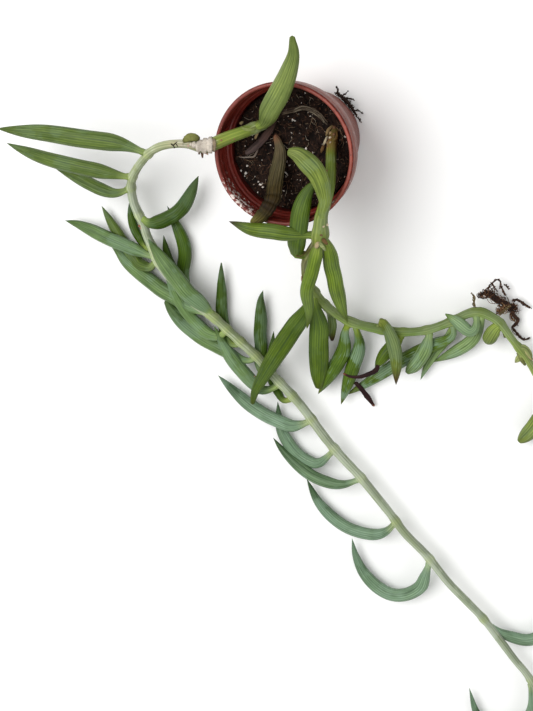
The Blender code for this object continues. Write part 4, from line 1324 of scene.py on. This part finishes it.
def wrinkled(points, flatness, colours, sides=32, step=0.5, ribs=7, rib_depth=0.1, creases=(),
             seed=1):
    """A shrunken leaf along x, y, height and half-width, with ribs, and creases at some shares that are
    painted darker as shade.
    """
    fine = through(points, 1.0)
    count = round(route_length(fine) / step)
    row = evenly(fine, count)

    def ring(share):
        half = row[round(share * count)][3]
        half *= min(1.0, math.sqrt(share / ROUNDED_START), math.sqrt((1 - share) / ROUNDED_END))
        half *= 1 + SWELLS * noise.noise(Vector((share * 14, seed, 0)))
        pinch = sum(depth * math.exp(-((share - where) / CREASE_WIDTH) ** 2) for where, depth in creases)
        tint = along_colours(colours, share)
        # painted shade darkens the tint in each crease
        dark = 1 - CREASE_SHADE * min(1.0, 3 * pinch)
        return (half * (1 - CREASE_NARROWING * pinch), half * flatness * (1 - pinch),
                (*(part * dark for part in tint[:3]), 0.0))

    def ripple(share, turn):
        deep = rib_depth * math.sin(ribs * turn + 2.5 * noise.noise(Vector((share * 4, seed, 9))))
        return 1 + deep + WRINKLES * noise.noise(Vector((share * 25, turn * 1.2, seed)))

    return draw_out(row, sides, ring, ripple, lines=2 * ribs, level=True, stretch=0.08)


withered_skin = skin_material("withered_skin", line_strength=0.9, dark=(34, 27, 20),
                              dark_strength=0.55, roughness=0.6, bloom=(90, 84, 66), gloss=0.15)
finished("withered_leaf_skin",
         [wrinkled(WITHERED_LEAF, 0.42, WITHERED_COLOURS, sides=56, ribs=13,
                   creases=((0.6, 0.3), (0.68, 0.4), (0.74, 0.25), (0.79, 0.35)))],
         [withered_skin], "withered_leaf")

# %% Flat dried leaf and frayed strand
CLEAR_OF_SOIL = 0.9
# Points x, y and half-width
DRIED_LEAF = [(-5, 12.5, 0.5), (-7, 9, 1.0), (-9.5, 6.5, 1.5), (-12.5, 3.5, 1.25),
              (-16, 1, 1.3), (-19, -0.5, 0.7)]
DRIED_FORK = [(-13, 2.5, 0.3), (-15, -1.5, 0.35), (-17.5, -2, 0.3), (-19.5, -2, 0.25),
              (-21.5, -1.5, 0.2)]
DRY_STRAND = [(-2.5, 14.5, 0.5), (2, 15, 0.6), (5.5, 16, 0.5), (8.5, 15.5, 0.5),
              (11, 14.5, 0.5), (13, 12.5, 0.5), (14.5, 10.5, 0.4), (15.5, 9, 0.4)]
FORK_COLOURS = [(0.0, (96, 80, 74)), (0.5, (136, 124, 114)), (1.0, (150, 140, 130))]
STRAND_COLOURS = [(84, 68, 56), (64, 50, 42), (112, 98, 80), (150, 140, 120)]
MAUVE_COLOURS = [(0.0, (70, 54, 48)), (0.5, (84, 68, 64)), (1.0, (104, 90, 86))]


def above_soil(points, flatness):
    """Height for points x, y and half-width, so that they lie just clear of the soil."""
    return [(x, y, soil_height(x, y) + half * flatness + CLEAR_OF_SOIL, half) for x, y, half in points]


dried_skin = skin_material("dried_skin", line_strength=0.8, dark=(36, 27, 24), dark_strength=0.5,
                           roughness=0.75, bloom=(100, 88, 82), gloss=0.2)
finished("dried_leaf_skin",
         [wrinkled(above_soil(DRIED_LEAF, 0.4), 0.34, MAUVE_COLOURS, ribs=4, rib_depth=0.22, seed=3),
          wrinkled(above_soil(DRIED_FORK, 0.4), 0.5, FORK_COLOURS, ribs=3, rib_depth=0.2, seed=4)],
         [dried_skin], "dried_leaf")

STRAND_FIBRES = 16
parts = []
chance = random.Random(31)
for k in range(STRAND_FIBRES):
    aside = chance.uniform(-0.9, 0.9)
    lift = chance.uniform(-0.1, 0.6)
    points = []
    for x, y, z, _ in above_soil(DRY_STRAND, 0.8):
        points.append(Vector((x + 0.4 * aside + chance.uniform(-0.25, 0.25),
                              y + aside + chance.uniform(-0.25, 0.25), z - 0.2 + lift)))
    first = chance.randrange(0, 3)
    last = len(points) - chance.randrange(0, 3)
    parts.append(thread(points[first:last], chance.uniform(0.08, 0.2), chance.choice(STRAND_COLOURS),
                        sides=6, end_colour=chance.choice(STRAND_COLOURS)))
finished("frayed_strand", parts, [fibre_material], "dry_strand")

# %% Black dried leaf and tip
# Points x, y, height and half-width
BLACK_TIP = [(22.5, -93.5, 10, 0.7), (21, -96.5, 10, 1.0), (18, -98, 10.5, 0.9),
             (14.5, -99, 11, 0.8), (10, -99, 11, 0.55), (7, -97.5, 11, 0.4)]
BLACK_LEAF = [(10.5, -103, 6, 0.8), (13, -107, 4.5, 1.1), (15, -111.5, 2.5, 1.1),
              (17, -115.5, 1.5, 0.6)]
BLACK_COLOURS = [(0.0, (56, 42, 34)), (0.3, (50, 34, 29)), (0.9, (58, 38, 30)), (1.0, (150, 88, 60))]
black_skin = skin_material("black_dried_skin", line_strength=0.9, dark=(14, 10, 9),
                           dark_strength=0.4, roughness=0.6, bloom=(70, 58, 52), gloss=0.2)
finished("black_tip_skin",
         [wrinkled(BLACK_TIP, 0.7, BLACK_COLOURS, sides=24, ribs=3, rib_depth=0.14, seed=6)],
         [black_skin], "black_tip")
finished("black_leaf_skin",
         [wrinkled(BLACK_LEAF, 0.5, BLACK_COLOURS, sides=24, ribs=4, rib_depth=0.16, seed=7)],
         [black_skin], "black_leaf")

# %% [markdown]
# ## Scars and buds
#
# The long stem was broken once, just outside the pot, and healed with a pale corky callus that has
# a bud beside it. Old leaves have left scars and stubs on both stems, and there are a few dark
# scratches. Marks that follow a stem take their height from its skin. A few leaves have a mark or
# a crack of their own, at a height that is given.

# %% Places on a stem's skin
LONG_LINE = through(LONG_STEM, 0.5)
SHORT_LINE = through(SHORT_STEM, 0.5)


def on_stem(line, x, y, out=0.0):
    """The place on the upper skin of a stem at x, y, or beside it at its middle's height."""
    near = min(line, key=lambda point: math.hypot(point.x - x, point.y - y))
    height = near.z
    for point in line:
        aside = math.hypot(point.x - x, point.y - y)
        if aside < point.w:
            height = max(height, point.z + math.sqrt(point.w ** 2 - aside ** 2))
    return Vector((x, y, height + out))


def over_stem(line, points, out):
    """Points x, y and half-width as a band across a stem's skin."""
    return [(*on_stem(line, x, y, out), half) for x, y, half in points]


print("the long stem's skin is", round(on_stem(LONG_LINE, -50, 5).z, 1), "mm high at x -50, y 5")

# %% Where callus, knobs, buds and stubs are
CORK = (208, 198, 184)
PALE_CORK = (222, 214, 204)
PINK_CORK = (196, 168, 152)
GREY_CORK = (152, 136, 114)
SHRED = (98, 74, 60)

# Bands across the long stem: points x, y and half-width, and colour
CALLUS_BANDS = [
    ([(-25.2, 8.3, 0.5), (-25.0, 6.6, 0.9), (-25.4, 4.6, 0.9), (-26.0, 3.2, 0.5)], GREY_CORK),
    ([(-26.9, 8.7, 0.8), (-26.6, 6.8, 1.3), (-26.9, 4.6, 1.3), (-27.6, 2.8, 0.8)], CORK),
    ([(-28.9, 8.4, 0.9), (-28.8, 6.6, 1.5), (-29.2, 4.6, 1.4), (-29.8, 2.8, 0.8)], CORK),
    ([(-31.0, 7.9, 0.8), (-31.0, 6.4, 1.4), (-31.4, 4.8, 1.2), (-31.9, 3.5, 0.6)], CORK),
    ([(-33.6, 7.4, 0.6), (-33.2, 6.2, 1.1), (-33.4, 5.0, 0.8)], CORK),
    ([(-16.4, 11.2, 0.4), (-14.8, 10.4, 0.6), (-12.4, 9.8, 0.7), (-10.4, 10.6, 0.5)], (150, 162, 98)),
]
# Knobs on the long and the short stem: x, y, half-size and colour
LONG_KNOBS = [
    (-27.6, 7.2, 0.9, PALE_CORK), (-28.2, 5.0, 0.8, PINK_CORK), (-30.0, 6.8, 1.0, CORK),
    (-30.2, 4.6, 0.9, PALE_CORK), (-32.2, 6.0, 1.0, PALE_CORK), (-34.6, 6.6, 0.8, CORK),
    (-26.0, 5.6, 0.7, PINK_CORK), (-26.2, 7.6, 0.6, GREY_CORK), (-35.8, 6.0, 0.5, PINK_CORK),
    (-29.0, 3.4, 0.7, PINK_CORK), (-31.6, 7.6, 0.7, CORK), (-77.0, -32.4, 0.8, (150, 98, 80)),
    (-76.6, -33.4, 0.5, (176, 140, 116)), (-18.2, 7.2, 0.35, (168, 112, 92)),
    (-19.4, 7.0, 0.3, (168, 112, 92)), (-22.4, 7.4, 0.4, (150, 104, 84)),
]
SHORT_KNOBS = [
    (14.0, -30.2, 0.8, (120, 96, 66)), (16.2, -26.6, 0.7, (198, 184, 156)),
    (12.6, -31.0, 0.5, (206, 192, 160)), (13.4, -32.2, 0.5, (104, 76, 50)),
    (15.2, -26.9, 0.5, (186, 170, 140)), (17.0, -6.6, 0.5, (140, 118, 80)),
    (17.2, 7.6, 1.0, (110, 80, 56)), (16.2, 5.8, 0.8, (176, 150, 112)), (17.8, 5.4, 0.8, (120, 88, 60)),
    (15.0, 6.4, 0.6, (150, 122, 84)), (18.4, 3.6, 0.6, (132, 112, 64)), (14.8, 4.2, 0.5, (206, 194, 170)),
    (15.8, 3.9, 0.7, (98, 70, 50)), (16.6, 4.4, 0.6, (206, 192, 166)), (15.6, 2.6, 0.6, (150, 120, 84)),
    (17.0, 2.8, 0.5, (196, 180, 152)), (15.8, 1.4, 0.4, (120, 90, 62)),
    (23.3, -77.4, 0.8, (146, 160, 96)), (73.4, -76.8, 0.5, (62, 84, 34)),
    (83.9, -89.4, 0.45, (168, 96, 62)), (84.8, -91.0, 0.35, (150, 84, 54)),
    (83.0, -87.8, 0.35, (176, 120, 84)),
]
# Buds and stubs: points x, y, height and half-width, and colour
STUBS = [
    ([(-38, 7.2, 48.4, 0.7), (-36.4, 8.4, 48.9, 1.4), (-34.2, 9.2, 49.3, 1.7), (-32.2, 8.8, 49.6, 1.4),
      (-31, 8.0, 49.8, 0.8)], (122, 124, 74)),
    ([(-30.6, 3.4, 49.2, 0.7), (-31.0, 1.9, 48.4, 0.5), (-31.4, 0.8, 47.4, 0.3)], SHRED),
    ([(-29.0, 2.9, 48.8, 0.6), (-28.7, 1.9, 48.2, 0.3)], PINK_CORK),
    ([(-31.8, 3.4, 48.8, 0.5), (-32.5, 2.2, 48.0, 0.3)], SHRED),
    ([(12.8, -32.6, 49, 0.7), (11.7, -34.2, 48.7, 0.9), (10.9, -35.6, 47.6, 0.5)], (176, 160, 124)),
    ([(14.2, -31.6, 49.4, 0.7), (15.2, -33, 49.3, 0.8), (15.7, -34.2, 48.4, 0.4)], (126, 100, 66)),
    ([(12.6, -33, 49, 0.8), (13.8, -35, 48.4, 0.7), (14.3, -37, 46.8, 0.3)], (152, 162, 110)),
    ([(81.2, -86.8, 7.6, 0.5), (82.8, -88.8, 8.0, 0.9), (84.4, -91.4, 7.8, 0.8), (85.4, -93.0, 7.6, 0.4)],
     (184, 172, 128)),
    ([(74.4, -79.6, 8, 0.8), (74.8, -81.6, 7.6, 0.9), (74.6, -83.6, 7.2, 0.4)], (104, 112, 62)),
    ([(79.6, -89.4, 7.6, 0.7), (81.1, -93.0, 7.4, 0.8), (82.4, -95.3, 7, 0.4)], (126, 130, 80)),
    ([(-17.6, 12.4, 35.5, 0.3), (-18.4, 11.7, 36, 0.6), (-19.2, 11.9, 36, 0.3)], (178, 160, 116)),
    ([(-12.0, 7.8, 35, 0.3), (-12.8, 7.0, 35.2, 0.6), (-13.8, 5.2, 34.8, 0.4)], (170, 148, 108)),
    ([(13.4, 1.6, 33.6, 0.6), (12.4, -0.3, 33.6, 0.6), (11.8, -1.6, 33.2, 0.3)], (120, 92, 62)),
    ([(17, 8.5, 32, 0.4), (15.5, 7, 34, 0.6), (15, 5, 35.5, 0.4)], (150, 128, 92)),
    ([(18.5, 6.5, 33, 0.4), (19, 4.5, 35, 0.5), (18.5, 3, 37, 0.3)], (112, 88, 54)),
    ([(15.5, 5, 36, 0.3), (14.5, 3, 36, 0.5), (13.5, 1.5, 35, 0.3)], (196, 182, 152)),
]
print(len(LONG_KNOBS) + len(SHORT_KNOBS), "knobs and", len(STUBS), "buds and stubs")

# %% Where scratches and marks are
INK = (38, 32, 25)
# Scratches and cracks: the stem, points x and y on it, thickness and colour
SCRATCHES = [
    (LONG_LINE, [(-44, 6.9), (-42.9, 6.1), (-41.8, 6.9), (-40.7, 7.5)], 0.3, INK),
    (LONG_LINE, [(-42.9, 6.2), (-42.6, 5.2), (-43.6, 4.8)], 0.28, INK),
    (LONG_LINE, [(-41.6, 6.8), (-40.9, 6.0), (-41.2, 5.4)], 0.22, INK),
    (LONG_LINE, [(-38.4, 5.6), (-38.1, 6.5), (-38.3, 7.4)], 0.12, (84, 74, 50)),
    (LONG_LINE, [(-60.2, 0.6), (-59.4, 1.3), (-58.8, 1.1)], 0.12, (84, 78, 52)),
    (SHORT_LINE, [(15.4, -33.4), (14.2, -35.6), (12.6, -37.8)], 0.16, (90, 64, 44)),
    (SHORT_LINE, [(11.8, -28.4), (12.6, -29.6), (12.2, -31.0)], 0.14, (104, 80, 56)),
    (SHORT_LINE, [(0.4, -52.4), (1.2, -53.4), (2.2, -53.2)], 0.12, (74, 64, 40)),
]
# Marks on leaves: points x, y and height, thickness and colour
LEAF_MARKS = [
    ([(1.4, -39, 44), (2.7, -39.6, 44.4), (4.3, -39.1, 44.4), (5.7, -37.5, 44)], 0.2, (96, 70, 46)),
    ([(-30, -121, 5.8), (-28.5, -121.5, 6.2), (-27, -122, 6.2)], 0.5, (112, 146, 72)),
    ([(-30, -96.8, 17.6), (-29.6, -97.2, 17.6)], 0.4, (156, 132, 96)),
    ([(3.6, -40.5, 40.4), (2.4, -43.6, 38.8), (1.4, -46.8, 37.2)], 0.35, (112, 84, 58)),
    ([(0.4, -49.4, 35.4), (-0.2, -52, 33.8), (0.2, -54, 32.4)], 0.3, (150, 122, 88)),
]
print(len(SCRATCHES), "scratches and", len(LEAF_MARKS), "marks on leaves")

# %% Callus, buds and scars
chance = random.Random(36)
corky = crumbly("corky_scars", roughness=0.8, contrast=0.3)


def plain_colours(colour):
    """A colour that is a little darker at both ends."""
    dark = tuple(0.75 * part for part in colour)
    return [(0.0, dark), (0.3, colour), (0.7, colour), (1.0, dark)]


parts = [wrinkled(over_stem(LONG_LINE, points, 0.15), 0.6, plain_colours(colour), sides=16, step=0.25,
                  ribs=4, seed=k) for k, (points, colour) in enumerate(CALLUS_BANDS)]
for line, knobs in ((LONG_LINE, LONG_KNOBS), (SHORT_LINE, SHORT_KNOBS)):
    for x, y, size, colour in knobs:
        parts.append(bit(on_stem(line, x, y, -0.15 * size), (size, size * 0.8, size * 0.6), colour,
                         chance, divisions=3, uneven=0.12))
parts += [wrinkled(points, 0.8, plain_colours(colour), sides=16, step=0.25, ribs=4, seed=20 + k)
          for k, (points, colour) in enumerate(STUBS)]
for line, points, radius, colour in SCRATCHES:
    parts.append(thread([on_stem(line, x, y, 0.06) for x, y in points], radius, colour, step=0.4))
parts += [thread(points, radius, colour, step=0.4) for points, radius, colour in LEAF_MARKS]
finished("scars_and_buds", parts, [corky])

# %% [markdown]
# ## Roots
#
# Where a stem touches damp ground it sends out roots. Those at the end of the short stem have
# dried to a tuft with peat in it, and others have grown out through a drain notch. Each CAD root
# becomes a rough core with thinner roots winding around it, and crumbs that stick to it.

# %% Root routes
# Root tuft: which colours, and points x, y, height and radius
ROOT_TUFT = [
    ("stalk", [(63, -70.5, 8, 0.6), (63, -68.5, 7.5, 0.6), (63, -66.5, 7, 0.5),
               (62, -65, 6.5, 0.3)]),
    ("peaty", [(64.5, -66.5, 4.5, 0.9), (66, -66, 4.5, 1.4), (68, -65, 4, 1.5),
               (69, -66, 4, 1.7), (71, -67.5, 4, 1.9), (73.5, -69.5, 4, 2.0),
               (76.5, -71, 3.5, 2.0), (79, -72, 3, 1.4)]),
    ("root", [(68, -64, 4.5, 0.5), (70, -61.5, 5, 0.45), (72, -60, 4.5, 0.4),
              (73.5, -61, 4, 0.4), (73, -64, 4, 0.5)]),
    ("root", [(70, -61, 5, 0.4), (71, -63, 5, 0.4), (72, -64.5, 4.5, 0.4)]),
    ("root", [(73.5, -63, 3.5, 0.4), (74.5, -65, 4, 0.4), (75.5, -67, 4, 0.5)]),
    ("root", [(74.5, -62.5, 2.5, 0.4), (75.5, -63, 2.5, 0.35), (76.5, -64.5, 2.5, 0.3)]),
    ("root", [(77.5, -69, 3.5, 0.8), (80, -69, 3, 0.7), (83, -71.5, 2, 0.7),
              (84.5, -73, 1.5, 0.5)]),
    ("brown", [(72.5, -73.5, 6.5, 1.1), (73.5, -72, 5.5, 1.5), (75, -71, 4.5, 1.6)]),
    ("stalk", [(73, -73.5, 8, 0.5), (75.5, -71.5, 7, 0.5), (77.5, -70, 6, 0.4)]),
    ("peaty", [(76, -72, 4, 1.4), (78, -72, 3.5, 1.6), (79.5, -73, 3, 1.3)]),
    ("root", [(77.5, -73, 3, 1.2), (78, -75.5, 3, 1.1), (79.5, -77, 2.5, 1.0),
              (78.5, -79.5, 2, 0.9), (77, -80.5, 2, 0.8), (78.5, -83, 1.5, 0.8),
              (80.5, -85.5, 1.5, 0.8), (82.5, -86, 1, 0.6), (84, -85, 1, 0.4)]),
    ("brown", [(77, -74, 3, 0.6), (77, -76.5, 3, 0.6), (78.5, -78, 2.5, 0.5)]),
]
# Drain roots: points x, y, height and radius
DRAIN_ROOTS = [
    [(11.5, 18, 5.5, 0.4), (13, 17, 5, 0.7), (14.5, 15.5, 4, 1.0), (16, 13.5, 3.5, 1.0),
     (17.5, 11, 3, 0.8), (18.5, 9, 3, 0.6), (19, 8, 3, 0.3)],
    [(12.5, 18, 5, 0.35), (13, 19, 5.5, 0.3), (12, 20.5, 5.5, 0.2)],
    [(14, 16.5, 4.5, 0.35), (15.5, 17, 4.5, 0.3), (16.5, 18, 4, 0.2)],
    [(15.5, 15, 4, 0.4), (17.5, 15, 3.5, 0.35), (18.5, 14, 2.5, 0.25)],
    [(18, 10, 3, 0.35), (20, 10, 2.5, 0.3), (21, 8.5, 1.5, 0.2)],
    [(19, 7.5, 3, 0.4), (20, 6.5, 2.5, 0.35), (20.5, 5, 2, 0.25)],
    [(14, 12, 2, 0.5), (15, 14, 2.0, 0.8), (15.5, 15.5, 3.5, 0.8)],
]
print(len(ROOT_TUFT) + len(DRAIN_ROOTS), "root routes")

# %% Rough roots
CORE_STEP = 0.45
KNOBBLES = 0.7
ROOT_GRIT = 0.35
CLEAR_OF_GROUND = 0.25


def rough_root(route, thinner, colours, strands, crumbs, chance):
    """A knobbly core along x, y, height and radius, with strands round it and crumbs on it."""
    fine = through(route, 0.8)
    count = max(5, round(route_length(fine) / CORE_STEP))
    row = evenly(fine, count)
    seed = chance.uniform(0, 50)

    def ring(share):
        radius = row[round(share * count)][3]
        radius *= thinner * (1 + KNOBBLES * noise.noise(Vector((share * 30, seed, 0))))
        tone = blend(paint(*colours[0]), paint(*colours[1]),
                     0.5 + 0.5 * noise.noise(Vector((share * 12, seed, 5))))
        return radius, radius, (*tone[:3], 0.0)

    def ripple(share, turn):
        return 1 + ROOT_GRIT * noise.noise(Vector((share * 40, turn * 1.5, seed)))

    parts = [draw_out(row, 10, ring, ripple, lines=4)]
    for _ in range(strands):
        points = []
        phase = chance.uniform(0, A_TURN)
        for k in range(0, count + 1, 3):
            x, y, z, radius = row[k]
            turn = phase + 0.5 * k
            reach = radius * chance.uniform(0.6, 1.6)
            points.append(Vector((x + reach * math.cos(turn), y + reach * math.sin(turn),
                                  max(CLEAR_OF_GROUND, z + reach * chance.uniform(-0.6, 0.9)))))
        if len(points) > 2:
            parts.append(thread(points, chance.uniform(0.08, 0.2), chance.choice(colours), step=0.6))
    for _ in range(crumbs):
        x, y, z, radius = row[chance.randrange(count + 1)]
        size = chance.uniform(0.15, 0.42)
        spot = (x + radius * chance.uniform(-1, 1), y + radius * chance.uniform(-1, 1),
                max(size, z + radius * chance.uniform(-0.6, 1)))
        parts.append(bit(spot, (size, size * 0.8, size * 0.7), chance.choice(colours), chance))
    return parts


print("a core has a ring every", CORE_STEP, "mm")

# %% Tuft and drain roots
THICK_IN_TUFT = 1.2
THICK_IN_DRAIN = 0.8
chance = random.Random(41)
ROOT_COLOURS = {
    "stalk": [(104, 92, 60), (84, 70, 46), (132, 108, 76)],
    "brown": [(104, 72, 48), (72, 47, 34), (140, 104, 72), (166, 134, 98)],
    "root": [(74, 50, 37), (46, 31, 24), (112, 82, 60), (34, 23, 18)],
    "peaty": [(52, 34, 25), (30, 20, 16), (84, 56, 40), (24, 16, 12), (118, 82, 58)],
}
DRAIN_COLOURS = [(48, 34, 27), (30, 21, 17), (72, 52, 40)]
root_material = crumbly("dried_roots", roughness=0.9, contrast=0.4)
parts = []
for kind, route in ROOT_TUFT:
    thick = THICK_IN_TUFT < max(point[3] for point in route)
    thinner, strands, crumbs = (0.55, 12, 60) if thick else (0.65, 2, 14)
    parts += rough_root(route, thinner, ROOT_COLOURS[kind], strands, crumbs, chance)
finished("root_tuft_strands", parts, [root_material], "root_tuft")

parts = []
for route in DRAIN_ROOTS:
    thick = THICK_IN_DRAIN < max(point[3] for point in route)
    strands, crumbs = (5, 50) if thick else (1, 10)
    parts += rough_root(route, 0.7, DRAIN_COLOURS, strands, crumbs, chance)
finished("drain_root_strands", parts, [root_material], "drain_roots")
